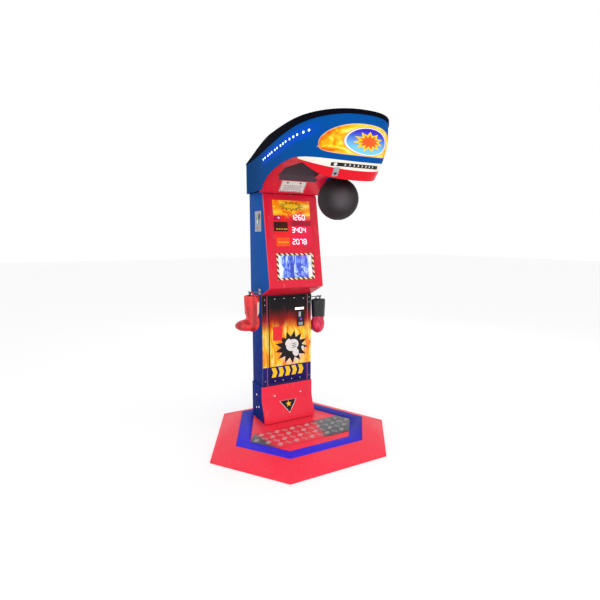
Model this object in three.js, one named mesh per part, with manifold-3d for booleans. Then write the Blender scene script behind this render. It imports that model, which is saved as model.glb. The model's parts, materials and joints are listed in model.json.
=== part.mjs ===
// Boxing punch machine: a hanging ball under a cantilevered hood, on a column with a coin door and a
// score display, standing on a six-sided ramped base. Millimetres, +Z up, -Y towards the player,
// +X to the player's right. The origin is the middle of the machine's plan box, on the floor.
import * as THREE from 'three';
import { mergeVertices } from 'three/addons/utils/BufferGeometryUtils.js';
import Module from 'manifold-3d';

const wasm = await Module();
wasm.setup();

// ---------------------------------------------------------------- driving dimensions

const GAP = 0.3; // running and assembly gap between touching pieces
const THROUGH = 300; // longer than any wall or hub that is cut or bored right through

// base: a hexagon with its side corners ahead of the middle, sloped inwards to a flat deck
const BASE_HALF_WIDTH = 732;
const BASE_FRONT_HALF = 375;
const BASE_HALF_DEPTH = 622;
const BASE_CORNER_Y = -130;
const RAMP_RUN = 167;
const RAMP_LIP = 9;
const RING_WIDTH = 95;
const DECK_Z = 71;
const SHEET = 3;

// column
const FOOT_HALF_WIDTH = 220;
const FOOT_TOP_Z = 357;
const FOOT_TOE = 50; // how far the foot's front flares out at the deck
const COLUMN_HALF_WIDTH = 212;
const COLUMN_FRONT_Y = 152;
const COLUMN_REAR_Y = 352;
const INNER_HALF_WIDTH = 200;
const FRONT_THICK = 12;
const BOX_HALF_WIDTH = 221;
const BOX_FLOOR_Z = 1071; // top of the lower column, under the upper box
const FACE_BOTTOM = { y: -15, z: 1143 };
const FACE_TOP = { y: 96, z: 1822 };
const COVER_DEPTH = 14; // front covers wrap this far round the side panels

// hood
const HOOD_REAR_Y = 360;
const HOOD_NOSE_Y = -832;
const HOOD_REAR_HALF = 240;
const HOOD_WIDE_HALF = 298;
const HOOD_WIDE_Y = -470;
const HOOD_FLOOR_Z = 1838;
const HOOD_SKIN = 6;
const NOSE_POWER = 2.3; // superellipse power of the nose in plan
const TAPER_FROM_Z = 2080; // below this the nose draws in
const TAPER_DEPTH = 270;
const TAPER_INSET = 95;
const COVER_LAP = 4; // the top cover stands out past the shell

// punching ball and its pivot
const BALL_RADIUS = 129;
const BALL_Z = 1740;
const PIVOT = { y: -545, z: 1995 };
const SHAFT_RADIUS = 10;
const OPENING_HALF = 150; // half width of the hole that the ball swings up through

// everything is drawn from the column's own axis, then moved so that the plan box is centred
const ORIGIN_SHIFT_Y = -(HOOD_NOSE_Y - COVER_LAP + BASE_HALF_DEPTH) / 2;

// ---------------------------------------------------------------- finishes

const FINISHES = {
  red: { color: 0xe02c44, roughness: 0.35, metalness: 0.0 },
  blue: { color: 0x1c5a9e, roughness: 0.35, metalness: 0.0 },
  ringBlue: { color: 0x2f35b8, roughness: 0.4, metalness: 0.0 },
  black: { color: 0x15161a, roughness: 0.3, metalness: 0.0 },
  darkPlastic: { color: 0x26262b, roughness: 0.6, metalness: 0.0 },
  steel: { color: 0x8d9094, roughness: 0.45, metalness: 0.9 },
  darkSteel: { color: 0x3b3d42, roughness: 0.5, metalness: 0.8 },
  chrome: { color: 0xd5d7da, roughness: 0.15, metalness: 1.0 },
  print: { color: 0xf08a1e, roughness: 0.3, metalness: 0.0 },
  lens: { color: 0xb9c8ff, roughness: 0.1, metalness: 0.0 },
  board: { color: 0x1f6b3a, roughness: 0.6, metalness: 0.0 },
  rubber: { color: 0x1a1a1c, roughness: 0.85, metalness: 0.0 },
  leather: { color: 0x2e2b2d, roughness: 0.6, metalness: 0.0 },
  vinyl: { color: 0xd7202c, roughness: 0.45, metalness: 0.0 },
  button: { color: 0x7a3fa8, roughness: 0.3, metalness: 0.0 },
  light: { color: 0xe8f6ff, roughness: 0.2, metalness: 0.0 },
};

const machine = new THREE.Group();
machine.position.y = ORIGIN_SHIFT_Y;

function addPart(name, shape, finish, parent = machine) {
  const geometry = shape.isBufferGeometry ? shape : toGeometry(shape);
  const mesh = new THREE.Mesh(geometry, new THREE.MeshStandardMaterial(FINISHES[finish]));
  mesh.name = name;
  parent.add(mesh);
  return mesh;
}

// ---------------------------------------------------------------- shape helpers

function toSolid(geometry) {
  const bare = geometry.clone();
  bare.deleteAttribute('normal');
  bare.deleteAttribute('uv');
  const merged = mergeVertices(bare, 1e-4);
  return new wasm.Manifold(new wasm.Mesh({
    numProp: 3,
    vertProperties: Float32Array.from(merged.attributes.position.array),
    triVerts: Uint32Array.from(merged.index.array),
  }));
}

function toGeometry(solid) {
  const mesh = solid.getMesh();
  const geometry = new THREE.BufferGeometry();
  geometry.setAttribute('position', new THREE.BufferAttribute(Float32Array.from(mesh.vertProperties), 3));
  geometry.setIndex(new THREE.BufferAttribute(Uint32Array.from(mesh.triVerts), 1));
  geometry.computeVertexNormals();
  return geometry;
}

const join = (...solids) => solids.reduce((whole, next) => whole.add(next));
const cut = (whole, ...tools) => tools.reduce((rest, tool) => rest.subtract(tool), whole);

// a box between two corners, each given as [low, high] along one axis
function block([x0, x1], [y0, y1], [z0, z1]) {
  const geometry = new THREE.BoxGeometry(x1 - x0, y1 - y0, z1 - z0);
  geometry.translate((x0 + x1) / 2, (y0 + y1) / 2, (z0 + z1) / 2);
  return toSolid(geometry);
}

// the same box, mirrored to either side of the middle
const pair = (xSpan, ySpan, zSpan) => [
  block(xSpan, ySpan, zSpan),
  block([-xSpan[1], -xSpan[0]], ySpan, zSpan),
];

function shapeOf(points) {
  return new THREE.Shape(points.map(([a, b]) => new THREE.Vector2(a, b)));
}

function extrude(points, depth) {
  return new THREE.ExtrudeGeometry(shapeOf(points), { depth, bevelEnabled: false, curveSegments: 12 });
}

// an outline in the (y, z) plane, drawn out from x0 to x1
function prismX(points, x0, x1) {
  const turn = new THREE.Matrix4().makeBasis(
    new THREE.Vector3(0, 1, 0),
    new THREE.Vector3(0, 0, 1),
    new THREE.Vector3(1, 0, 0),
  );
  return toSolid(extrude(points, x1 - x0).applyMatrix4(turn).translate(x0, 0, 0));
}

function prismZ(points, z0, z1) {
  return toSolid(extrude(points, z1 - z0).translate(0, 0, z0));
}

function rod(axis, radius, from, to, segments = 24) {
  const geometry = new THREE.CylinderGeometry(radius, radius, to - from, segments);
  geometry.translate(0, (from + to) / 2, 0);
  if (axis === 'x') geometry.rotateZ(-Math.PI / 2);
  if (axis === 'z') geometry.rotateX(Math.PI / 2);
  return geometry;
}

const rodAt = (axis, radius, from, to, [x, y, z], segments) =>
  toSolid(rod(axis, radius, from, to, segments).translate(x, y, z));

// closed plan outlines stacked at rising heights and skinned into one solid
function stack(levels) {
  const count = levels[0].points.length;
  const positions = levels.flatMap(({ points, z }) => points.flatMap(([x, y]) => [x, y, z]));
  const indices = [];
  for (let level = 0; level + 1 < levels.length; level += 1) {
    for (let i = 0; i < count; i += 1) {
      const next = (i + 1) % count;
      const [a, b] = [level * count + i, level * count + next];
      indices.push(a, b, b + count, a, b + count, a + count);
    }
  }
  const capOf = (points) =>
    THREE.ShapeUtils.triangulateShape(points.map(([x, y]) => new THREE.Vector2(x, y)), []);
  const top = (levels.length - 1) * count;
  for (const [a, b, c] of capOf(levels[0].points)) indices.push(a, c, b);
  for (const [a, b, c] of capOf(levels.at(-1).points)) indices.push(top + a, top + b, top + c);
  const geometry = new THREE.BufferGeometry();
  geometry.setAttribute('position', new THREE.Float32BufferAttribute(positions, 3));
  geometry.setIndex(indices);
  return toSolid(geometry);
}

const smooth = (t) => {
  const u = Math.min(1, Math.max(0, t));
  return u * u * (3 - 2 * u);
};

const spread = (from, to, count) =>
  Array.from({ length: count + 1 }, (_, i) => from + ((to - from) * i) / count);

// ---------------------------------------------------------------- base

// the base hexagon, anticlockwise, with every side moved inwards by the same distance
function hexagon(inset) {
  const corners = [
    [-BASE_FRONT_HALF, -BASE_HALF_DEPTH],
    [BASE_FRONT_HALF, -BASE_HALF_DEPTH],
    [BASE_HALF_WIDTH, BASE_CORNER_Y],
    [BASE_FRONT_HALF, BASE_HALF_DEPTH],
    [-BASE_FRONT_HALF, BASE_HALF_DEPTH],
    [-BASE_HALF_WIDTH, BASE_CORNER_Y],
  ];
  const sides = corners.map(([x, y], i) => {
    const [nx, ny] = corners[(i + 1) % corners.length];
    const length = Math.hypot(nx - x, ny - y);
    const [dx, dy] = [(nx - x) / length, (ny - y) / length];
    return { x: x - dy * inset, y: y + dx * inset, dx, dy };
  });
  return sides.map((side, i) => {
    const last = sides.at(i - 1);
    const cross = last.dx * side.dy - last.dy * side.dx;
    const t = ((side.x - last.x) * side.dy - (side.y - last.y) * side.dx) / cross;
    return [last.x + last.dx * t, last.y + last.dy * t];
  });
}

const RING_BAR = 8;
const FLOOR_Z = DECK_Z - RING_BAR; // underside of the ring and of the floor plate
const FLOOR_TOP_Z = FLOOR_Z + 5;
const FOOT_BOTTOM_Z = DECK_Z + GAP; // the foot's rear corners stand on the ring
const TREAD_HALVES = { back: 362, corner: 425, front: 295 };
const TREAD_Y = { back: 0, corner: -105, front: -286 };
const TREAD_THICK = 4;
const FRAME_TUBE = 40;
const BEAM_X = [160, 200];

function buildBase() {
  const ringInset = RAMP_RUN + RING_WIDTH;
  const rampOuter = stack([
    { points: hexagon(0), z: 0 },
    { points: hexagon(0), z: RAMP_LIP },
    { points: hexagon(RAMP_RUN), z: DECK_Z },
  ]);
  const rampInner = stack([
    { points: hexagon(SHEET), z: -1 },
    { points: hexagon(SHEET), z: RAMP_LIP - SHEET },
    { points: hexagon(RAMP_RUN), z: DECK_Z - SHEET },
  ]);
  const rampHole = prismZ(hexagon(RAMP_RUN - 1), FRAME_TUBE, DECK_Z + 1);
  addPart('ramp_skirt', cut(rampOuter, rampInner, rampHole), 'red');

  const ring = cut(
    prismZ(hexagon(RAMP_RUN + GAP), FLOOR_Z, DECK_Z),
    prismZ(hexagon(ringInset), FLOOR_Z - 1, DECK_Z + 1),
  );
  addPart('ring_trim', ring, 'ringBlue');
  addPart('floor_plate', prismZ(hexagon(ringInset + GAP), FLOOR_Z, FLOOR_TOP_Z), 'red');

  const tread = [
    [-TREAD_HALVES.front, TREAD_Y.front],
    [TREAD_HALVES.front, TREAD_Y.front],
    [TREAD_HALVES.corner, TREAD_Y.corner],
    [TREAD_HALVES.back, TREAD_Y.back],
    [-TREAD_HALVES.back, TREAD_Y.back],
    [-TREAD_HALVES.corner, TREAD_Y.corner],
  ];
  const treadZ = FLOOR_TOP_Z + GAP;
  addPart('tread_plate', prismZ(tread, treadZ, treadZ + TREAD_THICK), 'steel');

  const frameTop = FLOOR_Z - GAP;
  const frameInset = RAMP_RUN + RING_WIDTH / 2 - FRAME_TUBE / 2;
  const rim = cut(
    prismZ(hexagon(frameInset), 0, frameTop),
    prismZ(hexagon(frameInset + FRAME_TUBE), -1, frameTop + 1),
  );
  const beamReach = BASE_HALF_DEPTH - frameInset - FRAME_TUBE / 2;
  const beams = pair(BEAM_X, [-beamReach, beamReach], [0, frameTop]);
  addPart('base_frame', join(rim, ...beams), 'darkSteel');
}

// ---------------------------------------------------------------- foot and lower column

// the foot's front edge in side view, flaring forward in a quarter wave towards the deck
function footFrontY(z) {
  const drop = (FOOT_TOP_Z - z) / (FOOT_TOP_Z - FOOT_BOTTOM_Z);
  return COLUMN_FRONT_Y - FOOT_TOE * smooth((drop - 0.35) / 0.65);
}

// a sheet bent to a side-view outline, with returns that wrap round both sides
function wrappedFront(frontLine, depth, halfWidth) {
  const shifted = (d) => frontLine.map(([y, z]) => [y + d, z]).reverse();
  const whole = prismX([...frontLine, ...shifted(depth)], -halfWidth, halfWidth);
  const hollowLine = [...frontLine.map(([y, z]) => [y + SHEET, z]), ...shifted(depth + SHEET)];
  const hollow = prismX(hollowLine, SHEET - halfWidth, halfWidth - SHEET);
  return { whole, hollow };
}

const DOOR_HALF = 156;
const DOOR_Z = [380, 1052];
const DOOR_GAP = 3;
const REAR_DOOR_HALF = 150;
const REAR_DOOR_Z = [256, 1000];
const REAR_OPENING_GAP = 6;
const INLET = { x: 60, z: 150, halfX: 30, halfZ: 17 };
const UPRIGHT_X = [165, 195];
const FRONT_UPRIGHT_Y = [172, 202];
const REAR_UPRIGHT_Y = [296, 336];
const FRAME_TOP_Z = 2002;
const REAR_THICK = 12;
const RUNG_Z = { foot: 180, box: 1085, top: 1850 };
const RUNG_HEIGHT = 30;
const SHELF_Z = [386, 390];

function buildFoot() {
  const bottom = FOOT_BOTTOM_Z;
  const line = spread(bottom, FOOT_TOP_Z, 8).map((z) => [footFrontY(z), z]);
  const { whole, hollow } = wrappedFront(line, COVER_DEPTH, FOOT_HALF_WIDTH);
  addPart('foot_skirt', cut(whole, hollow), 'red');

  const edge = line.map(([y, z]) => [y + COVER_DEPTH + GAP, z]);
  const side = [...edge, [COLUMN_REAR_Y, FOOT_TOP_Z], [COLUMN_REAR_Y, bottom]];
  addPart('foot_side_left', prismX(side, -FOOT_HALF_WIDTH, -INNER_HALF_WIDTH), 'blue');
  addPart('foot_side_right', prismX(side, INNER_HALF_WIDTH, FOOT_HALF_WIDTH), 'blue');
}

function buildLowerColumn() {
  const bottom = FOOT_TOP_Z + GAP;
  const top = BOX_FLOOR_Z - GAP;
  const frontSpan = [COLUMN_FRONT_Y, COLUMN_FRONT_Y + FRONT_THICK];
  const sideSpan = [frontSpan[1] + GAP, COLUMN_REAR_Y];
  const sideZ = [bottom, top];
  const leftX = [-COLUMN_HALF_WIDTH, -INNER_HALF_WIDTH];
  const rightX = [INNER_HALF_WIDTH, COLUMN_HALF_WIDTH];
  addPart('column_side_left', block(leftX, sideSpan, sideZ), 'blue');
  addPart('column_side_right', block(rightX, sideSpan, sideZ), 'blue');

  const doorway = DOOR_HALF + DOOR_GAP;
  const frame = cut(
    block([-COLUMN_HALF_WIDTH, COLUMN_HALF_WIDTH], frontSpan, [bottom, top]),
    block([-doorway, doorway], [0, COLUMN_REAR_Y], [DOOR_Z[0] - DOOR_GAP, DOOR_Z[1] + DOOR_GAP]),
  );
  addPart('front_frame', frame, 'print');

  const rear = cut(
    block(
      [GAP - INNER_HALF_WIDTH, INNER_HALF_WIDTH - GAP],
      [COLUMN_REAR_Y - REAR_THICK, COLUMN_REAR_Y],
      [FOOT_BOTTOM_Z, HOOD_FLOOR_Z - GAP],
    ),
    block(
      [-REAR_DOOR_HALF - REAR_OPENING_GAP, REAR_DOOR_HALF + REAR_OPENING_GAP],
      [0, COLUMN_REAR_Y + 1],
      [REAR_DOOR_Z[0] - DOOR_GAP, REAR_DOOR_Z[1] + DOOR_GAP],
    ),
    block(
      [INLET.x - INLET.halfX, INLET.x + INLET.halfX],
      [0, COLUMN_REAR_Y + 1],
      [INLET.z - INLET.halfZ, INLET.z + INLET.halfZ],
    ),
  );
  addPart('rear_panel', rear, 'blue');
}

function buildColumnFrame() {
  const height = [FLOOR_TOP_Z + GAP, FRAME_TOP_Z - GAP];
  const uprights = [
    ...pair(UPRIGHT_X, FRONT_UPRIGHT_Y, height),
    ...pair(UPRIGHT_X, REAR_UPRIGHT_Y, height),
  ];
  const across = [-UPRIGHT_X[1], UPRIGHT_X[1]];
  const along = [FRONT_UPRIGHT_Y[0], REAR_UPRIGHT_Y[1]];
  const rungs = Object.values(RUNG_Z).flatMap((z) => [
    block(across, REAR_UPRIGHT_Y, [z, z + RUNG_HEIGHT]),
    ...pair(UPRIGHT_X, along, [z, z + RUNG_HEIGHT]),
  ]);
  const topRung = block(across, FRONT_UPRIGHT_Y, [RUNG_Z.top, RUNG_Z.top + RUNG_HEIGHT]);
  const shelf = block(across, along, SHELF_Z);
  addPart('column_frame', join(...uprights, ...rungs, topRung, shelf), 'darkSteel');
}

// ---------------------------------------------------------------- coin door

const DOOR_AXIS = { x: -157.5, y: 148 };
const COIN_PLATE = { x: [85, 148], z: [814, 937] };
const COIN_PLATE_Y = [COLUMN_FRONT_Y - 4 - GAP, COLUMN_FRONT_Y - GAP];
const REJECT = { x: 116, z: 870, radius: 11, travel: 4 };
const RETURN_HOLE = { x: [96, 138], z: [820, 846] };
const DOOR_LOCK = { x: 132, z: 640, radius: 9 };
const LOCK_CAM = { half: 7, drop: 36 };
const HINGE_RADIUS = 3.6;
const PLATE_LAP = 3; // how far the coin plate covers the edge of its hole in the door
const COIN_SLOT = { x: [105, 108.2], y: [100, 200], z: [896, 926] };
const COIN_MECH = {
  setback: 4,
  body: { x: [90, 143], z: [850, 932], depth: 78 },
  chute: { x: [93, 141], z: [817.6, 851], depth: 48 },
  cup: { x: [95, 139], z: [819.6, 848], depth: 46 },
};
const CASH_BOX = { half: 120, y: [206, 290], topZ: 560, floorZ: 394, wall: 3 };

function buildCoinDoor() {
  const front = COLUMN_FRONT_Y;
  const inset = ([low, high]) => [low + PLATE_LAP, high - PLATE_LAP];
  const plateHole = block(inset(COIN_PLATE.x), [0, THROUGH], inset(COIN_PLATE.z));
  const pan = cut(
    block([-DOOR_HALF, DOOR_HALF], [front, front + FRONT_THICK], DOOR_Z),
    block(
      [SHEET - DOOR_HALF, DOOR_HALF - SHEET],
      [front + SHEET, front + FRONT_THICK + 1],
      [DOOR_Z[0] + SHEET, DOOR_Z[1] - SHEET],
    ),
    plateHole,
    rodAt('y', DOOR_LOCK.radius + GAP, 0, THROUGH, [DOOR_LOCK.x, 0, DOOR_LOCK.z]),
  );
  addPart('coin_door', pan, 'print');
  const knuckle = rodAt('z', HINGE_RADIUS, DOOR_Z[0], DOOR_Z[1], [DOOR_AXIS.x, DOOR_AXIS.y, 0], 12);
  addPart('door_hinge', knuckle, 'chrome');

  const slot = block(COIN_SLOT.x, COIN_SLOT.y, COIN_SLOT.z);
  const plate = cut(
    block(COIN_PLATE.x, COIN_PLATE_Y, COIN_PLATE.z),
    slot,
    rodAt('y', REJECT.radius + 2 * GAP, 0, THROUGH, [REJECT.x, 0, REJECT.z]),
    block(RETURN_HOLE.x, [0, THROUGH], RETURN_HOLE.z),
  );
  addPart('coin_plate', plate, 'black');

  const button = rodAt('y', REJECT.radius, front - 9, front - 1, [REJECT.x, 0, REJECT.z]);
  addPart('reject_button', button, 'button');

  const flapSpan = [RETURN_HOLE.x[0] + 1.5, RETURN_HOLE.x[1] - 1.5];
  const flapZ = [RETURN_HOLE.z[0] + 1, RETURN_HOLE.z[1] - 0.8];
  addPart('return_flap', block(flapSpan, [front - 3.6, front - 1.6], flapZ), 'chrome');

  const { setback, body, chute, cup } = COIN_MECH;
  const mech = cut(
    join(
      block(body.x, [front + setback, front + body.depth], body.z),
      block(chute.x, [front + setback, front + chute.depth], chute.z),
    ),
    slot,
    block(cup.x, [front, front + cup.depth], cup.z),
  );
  addPart('coin_mech', mech, 'steel');

  const lockAt = [DOOR_LOCK.x, 0, DOOR_LOCK.z];
  const lock = join(
    rodAt('y', DOOR_LOCK.radius, front - 6, front + 18, lockAt),
    rodAt('y', DOOR_LOCK.radius + 3, front - 6, front - GAP, lockAt),
    block(
      [DOOR_LOCK.x - LOCK_CAM.half, DOOR_LOCK.x + LOCK_CAM.half],
      [front + 14, front + 17],
      [DOOR_LOCK.z - LOCK_CAM.drop, DOOR_LOCK.z],
    ),
  );
  addPart('door_lock', lock, 'chrome');

  const { half, y, topZ, floorZ, wall } = CASH_BOX;
  const cash = cut(
    block([-half, half], y, [SHELF_Z[1] + GAP, topZ]),
    block([wall - half, half - wall], [y[0] + wall, y[1] - wall], [floorZ, topZ + 1]),
  );
  addPart('cash_box', cash, 'steel');
}

// ---------------------------------------------------------------- rear door and services

const REAR_AXIS = { x: 153, y: COLUMN_REAR_Y + 2 };
const REAR_KNUCKLE_RADIUS = 2.2;
const ROCKER = { x: 14, tilt: -8, wide: 18, deep: 9, high: 24 };
const BOARD = { half: 120, y: [326, 329], z: [1250, 1500], bond: 1 };
const BOARD_PARTS = [
  { x: [-90, -40], frontY: 314, z: [1290, 1340] },
  { x: [10, 80], frontY: 318, z: [1380, 1440] },
  { x: [-100, -60], frontY: 316, z: [1400, 1460] },
];
const POWER_SUPPLY = { x: [-110, 40], y: [225, 290], topZ: 150 };
const SPEAKER = { y: 306, z: 1650, magnetRadius: 28, magnetDepth: 18, magnetZ: -3 };
// radius and height round the cone: its dust cap, the paper, the rim and back underneath
const SPEAKER_PROFILE = [[0, 4], [18, 4], [52, 24], [62, 24], [62, 28], [50, 28], [17, 8], [0, 8]];

function buildRear() {
  const span = [COLUMN_REAR_Y - REAR_THICK, COLUMN_REAR_Y];
  const pan = cut(
    block([-REAR_DOOR_HALF, REAR_DOOR_HALF], span, REAR_DOOR_Z),
    block(
      [SHEET - REAR_DOOR_HALF, REAR_DOOR_HALF - SHEET],
      [span[0] - 1, span[1] - SHEET],
      [REAR_DOOR_Z[0] + SHEET, REAR_DOOR_Z[1] - SHEET],
    ),
  );
  const leaf = block([140, REAR_AXIS.x], [COLUMN_REAR_Y - 1, COLUMN_REAR_Y + 1.5], REAR_DOOR_Z);
  const knuckleAt = [REAR_AXIS.x, REAR_AXIS.y, 0];
  const knuckle = rodAt('z', REAR_KNUCKLE_RADIUS, REAR_DOOR_Z[0], REAR_DOOR_Z[1], knuckleAt, 12);
  addPart('rear_door', join(pan, leaf, knuckle), 'blue');

  const { x, z, halfX, halfZ } = INLET;
  const front = COLUMN_REAR_Y;
  const housing = cut(
    join(
      block([x - halfX + GAP, x + halfX - GAP], [front - 30, front + 1], [z - halfZ + GAP, z + halfZ - GAP]),
      block([x - halfX - 5, x + halfX + 5], [front + GAP, front + 3], [z - halfZ - 5, z + halfZ + 5]),
    ),
    block([x - 26, x - 2], [front - 18, front + 4], [z - 10, z + 10]),
    block([x + 4, x + 24], [front - 14, front + 4], [z - 14, z + 14]),
  );
  addPart('mains_inlet', housing, 'darkPlastic');

  // the rocker is drawn tipped to one side, resting off, about the axis at its middle
  const rocker = new THREE.BoxGeometry(ROCKER.wide, ROCKER.deep, ROCKER.high);
  rocker.rotateX(THREE.MathUtils.degToRad(ROCKER.tilt)).translate(x + ROCKER.x, front - 2, z);
  addPart('power_rocker', toSolid(rocker), 'darkPlastic');

  const chips = BOARD_PARTS.map((chip) => block(chip.x, [chip.frontY, BOARD.y[0] + BOARD.bond], chip.z));
  addPart('main_board', join(block([-BOARD.half, BOARD.half], BOARD.y, BOARD.z), ...chips), 'board');
  const supplyZ = [FLOOR_TOP_Z + GAP, POWER_SUPPLY.topZ];
  addPart('power_supply', block(POWER_SUPPLY.x, POWER_SUPPLY.y, supplyZ), 'steel');

  const profile = SPEAKER_PROFILE.map(([radius, height]) => new THREE.Vector2(radius, height));
  const cone = new THREE.LatheGeometry(profile, 28);
  const { magnetRadius, magnetDepth, magnetZ } = SPEAKER;
  const magnet = new THREE.CylinderGeometry(magnetRadius, magnetRadius, magnetDepth, 28);
  const driver = join(toSolid(cone), toSolid(magnet.translate(0, magnetZ, 0)));
  addPart('speaker', driver.translate([0, SPEAKER.y, 0]).translate([0, 0, SPEAKER.z]), 'darkPlastic');
}

// ---------------------------------------------------------------- upper box

// the sloping face has its own frame: x across, z up the slope from its bottom edge, y inwards
const face = new THREE.Group();
const FACE_LENGTH = Math.hypot(FACE_TOP.y - FACE_BOTTOM.y, FACE_TOP.z - FACE_BOTTOM.z);
face.position.set(0, FACE_BOTTOM.y, FACE_BOTTOM.z);
face.rotation.x = -Math.atan2(FACE_TOP.y - FACE_BOTTOM.y, FACE_TOP.z - FACE_BOTTOM.z);
machine.add(face);

const SCORE = { half: 153, z: [301, 643], hole: 4 };
const WINDOW = { half: 154, z: [58, 252], border: 15 };
const ROW_Z = [338, 425, 519];
const SIDE_PLATE = { y: [130, 244], z: [1551, 1701] };
const SIDE_LOCK = { y: 187, z: 1622, radius: 9 };
const FACE_CUT = [-30, 40]; // through the cover's face, measured inwards from it
const SCORE_ROW = { x: [-14, 120], y: [7, 16], half: 24 };
const SCORE_PCB = { half: 145, y: [15, 18], margin: 6 };
const LENS_THICK = 2;
const BEZEL_THICK = 3;
const PANE_LAP = 8; // how far the pane reaches behind the bezel

function buildUpperBox() {
  const line = [
    [COLUMN_FRONT_Y, BOX_FLOOR_Z],
    [FACE_BOTTOM.y, FACE_BOTTOM.z],
    [FACE_TOP.y, FACE_TOP.z],
  ];
  const { whole, hollow } = wrappedFront(line, COVER_DEPTH, BOX_HALF_WIDTH);
  const place = (solid) => {
    face.updateMatrix();
    return solid.transform(face.matrix.toArray());
  };
  const scoreHole = block(
    [SCORE.hole - SCORE.half, SCORE.half - SCORE.hole],
    FACE_CUT,
    [SCORE.z[0] + SCORE.hole, SCORE.z[1] - SCORE.hole],
  );
  const windowHole = block(
    [WINDOW.border - WINDOW.half, WINDOW.half - WINDOW.border],
    FACE_CUT,
    [WINDOW.z[0] + WINDOW.border, WINDOW.z[1] - WINDOW.border],
  );
  addPart('front_cover', cut(whole, hollow, place(scoreHole), place(windowHole)), 'red');

  const edge = line.map(([y, z]) => [y + COVER_DEPTH + GAP, z]);
  const side = [
    ...edge,
    [edge[2][0], HOOD_FLOOR_Z - GAP],
    [COLUMN_REAR_Y, HOOD_FLOOR_Z - GAP],
    [COLUMN_REAR_Y, BOX_FLOOR_Z],
  ];
  const lockHole = rodAt('x', SIDE_LOCK.radius + GAP, -THROUGH, 0, [0, SIDE_LOCK.y, SIDE_LOCK.z]);
  const leftSide = cut(prismX(side, -BOX_HALF_WIDTH, -INNER_HALF_WIDTH), lockHole);
  addPart('upper_side_left', leftSide, 'blue');
  addPart('upper_side_right', prismX(side, INNER_HALF_WIDTH, BOX_HALF_WIDTH), 'blue');

  const plateX = [-BOX_HALF_WIDTH - GAP - 2, -BOX_HALF_WIDTH - GAP];
  addPart('side_plate', cut(block(plateX, SIDE_PLATE.y, SIDE_PLATE.z), lockHole), 'steel');
  const lockAt = [0, SIDE_LOCK.y, SIDE_LOCK.z];
  const outer = plateX[0] - GAP;
  const cam = [1 - INNER_HALF_WIDTH, 4 - INNER_HALF_WIDTH];
  const lock = join(
    rodAt('x', SIDE_LOCK.radius, outer - 6, cam[1] - GAP, lockAt),
    rodAt('x', SIDE_LOCK.radius + 4, outer - 4, outer, lockAt),
    block(
      cam,
      [SIDE_LOCK.y - LOCK_CAM.half, SIDE_LOCK.y + LOCK_CAM.half],
      [SIDE_LOCK.z - LOCK_CAM.drop, SIDE_LOCK.z],
    ),
  );
  addPart('side_lock', lock, 'chrome');
}

function buildDisplays() {
  const lens = block([-SCORE.half, SCORE.half], [-LENS_THICK - GAP, -GAP], SCORE.z);
  addPart('score_lens', lens, 'print', face);
  const rows = ROW_Z.map((z) => block(SCORE_ROW.x, SCORE_ROW.y, [z - SCORE_ROW.half, z + SCORE_ROW.half]));
  const pcb = block(
    [-SCORE_PCB.half, SCORE_PCB.half],
    SCORE_PCB.y,
    [SCORE.z[0] + SCORE_PCB.margin, SCORE.z[1] - SCORE_PCB.margin],
  );
  addPart('score_board', join(pcb, ...rows), 'board', face);

  const { half, z, border } = WINDOW;
  const bezel = cut(
    block([-half, half], [-BEZEL_THICK - GAP, -GAP], z),
    block([border - half, half - border], FACE_CUT, [z[0] + border, z[1] - border]),
  );
  addPart('picture_bezel', bezel, 'black', face);
  const pane = block(
    [border - half - PANE_LAP, half - border + PANE_LAP],
    [SHEET + GAP, SHEET + GAP + BEZEL_THICK],
    [z[0] + border - PANE_LAP, z[1] - border + PANE_LAP],
  );
  addPart('picture_lens', pane, 'lens', face);
}

// ---------------------------------------------------------------- hood surface

// half of the plan outline, from the rear corner round to the tip of the nose
function hoodHalf() {
  const flank = spread(0, 1, 6).map((t) => [
    HOOD_REAR_HALF + (HOOD_WIDE_HALF - HOOD_REAR_HALF) * smooth(t),
    HOOD_REAR_Y + (HOOD_WIDE_Y - HOOD_REAR_Y) * t,
  ]);
  const nose = spread(0, Math.PI / 2, 9).slice(1).map((angle) => [
    HOOD_WIDE_HALF * Math.max(0, Math.cos(angle)) ** (2 / NOSE_POWER),
    HOOD_WIDE_Y + (HOOD_NOSE_Y - HOOD_WIDE_Y) * Math.sin(angle) ** (2 / NOSE_POWER),
  ]);
  return [...flank, ...nose];
}

// the whole outline anticlockwise, grown by `grow` and drawn in towards the nose below the taper line
function hoodOutline(z, grow) {
  const taper = TAPER_INSET * (Math.max(0, TAPER_FROM_Z - z) / TAPER_DEPTH) ** 1.6;
  const half = hoodHalf();
  const left = half.map(([x, y]) => [-x, y]);
  const right = half.slice(0, -1).reverse();
  const ring = [...left, ...right];
  return ring.map(([x, y], i) => {
    const [px, py] = ring.at(i - 1);
    const [qx, qy] = ring[(i + 1) % ring.length];
    const rearCorner = i === 0 || i === ring.length - 1;
    const length = Math.hypot(qx - px, qy - py);
    const normal = rearCorner ? [Math.sign(x), 1] : [(qy - py) / length, -(qx - px) / length];
    const inset = grow - taper * smooth(-y / 500);
    return [x + normal[0] * inset, y + normal[1] * inset];
  });
}

const HOOD_LEVELS = [1760, 1810, 1860, 1920, 1980, 2040, 2080, 2300];
const hoodBody = (grow) => stack(HOOD_LEVELS.map((z) => ({ points: hoodOutline(z, grow), z })));

// side-view lines, each giving z at a y
const ARCH = { y: -480, z: 1812, reach: 520, rise: 162 };

function shellBottomZ(y) {
  if (y < ARCH.y) {
    const forward = (ARCH.y - y) / (ARCH.y - HOOD_NOSE_Y);
    return ARCH.z + ARCH.rise - 61 * forward ** 1.6;
  }
  const across = Math.min(1, (y - ARCH.y) / ARCH.reach);
  return Math.max(HOOD_FLOOR_Z, ARCH.z + ARCH.rise * Math.sqrt(1 - across * across));
}

const shellTopZ = (y) => 2062 + (267 - y) * 0.096;

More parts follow.
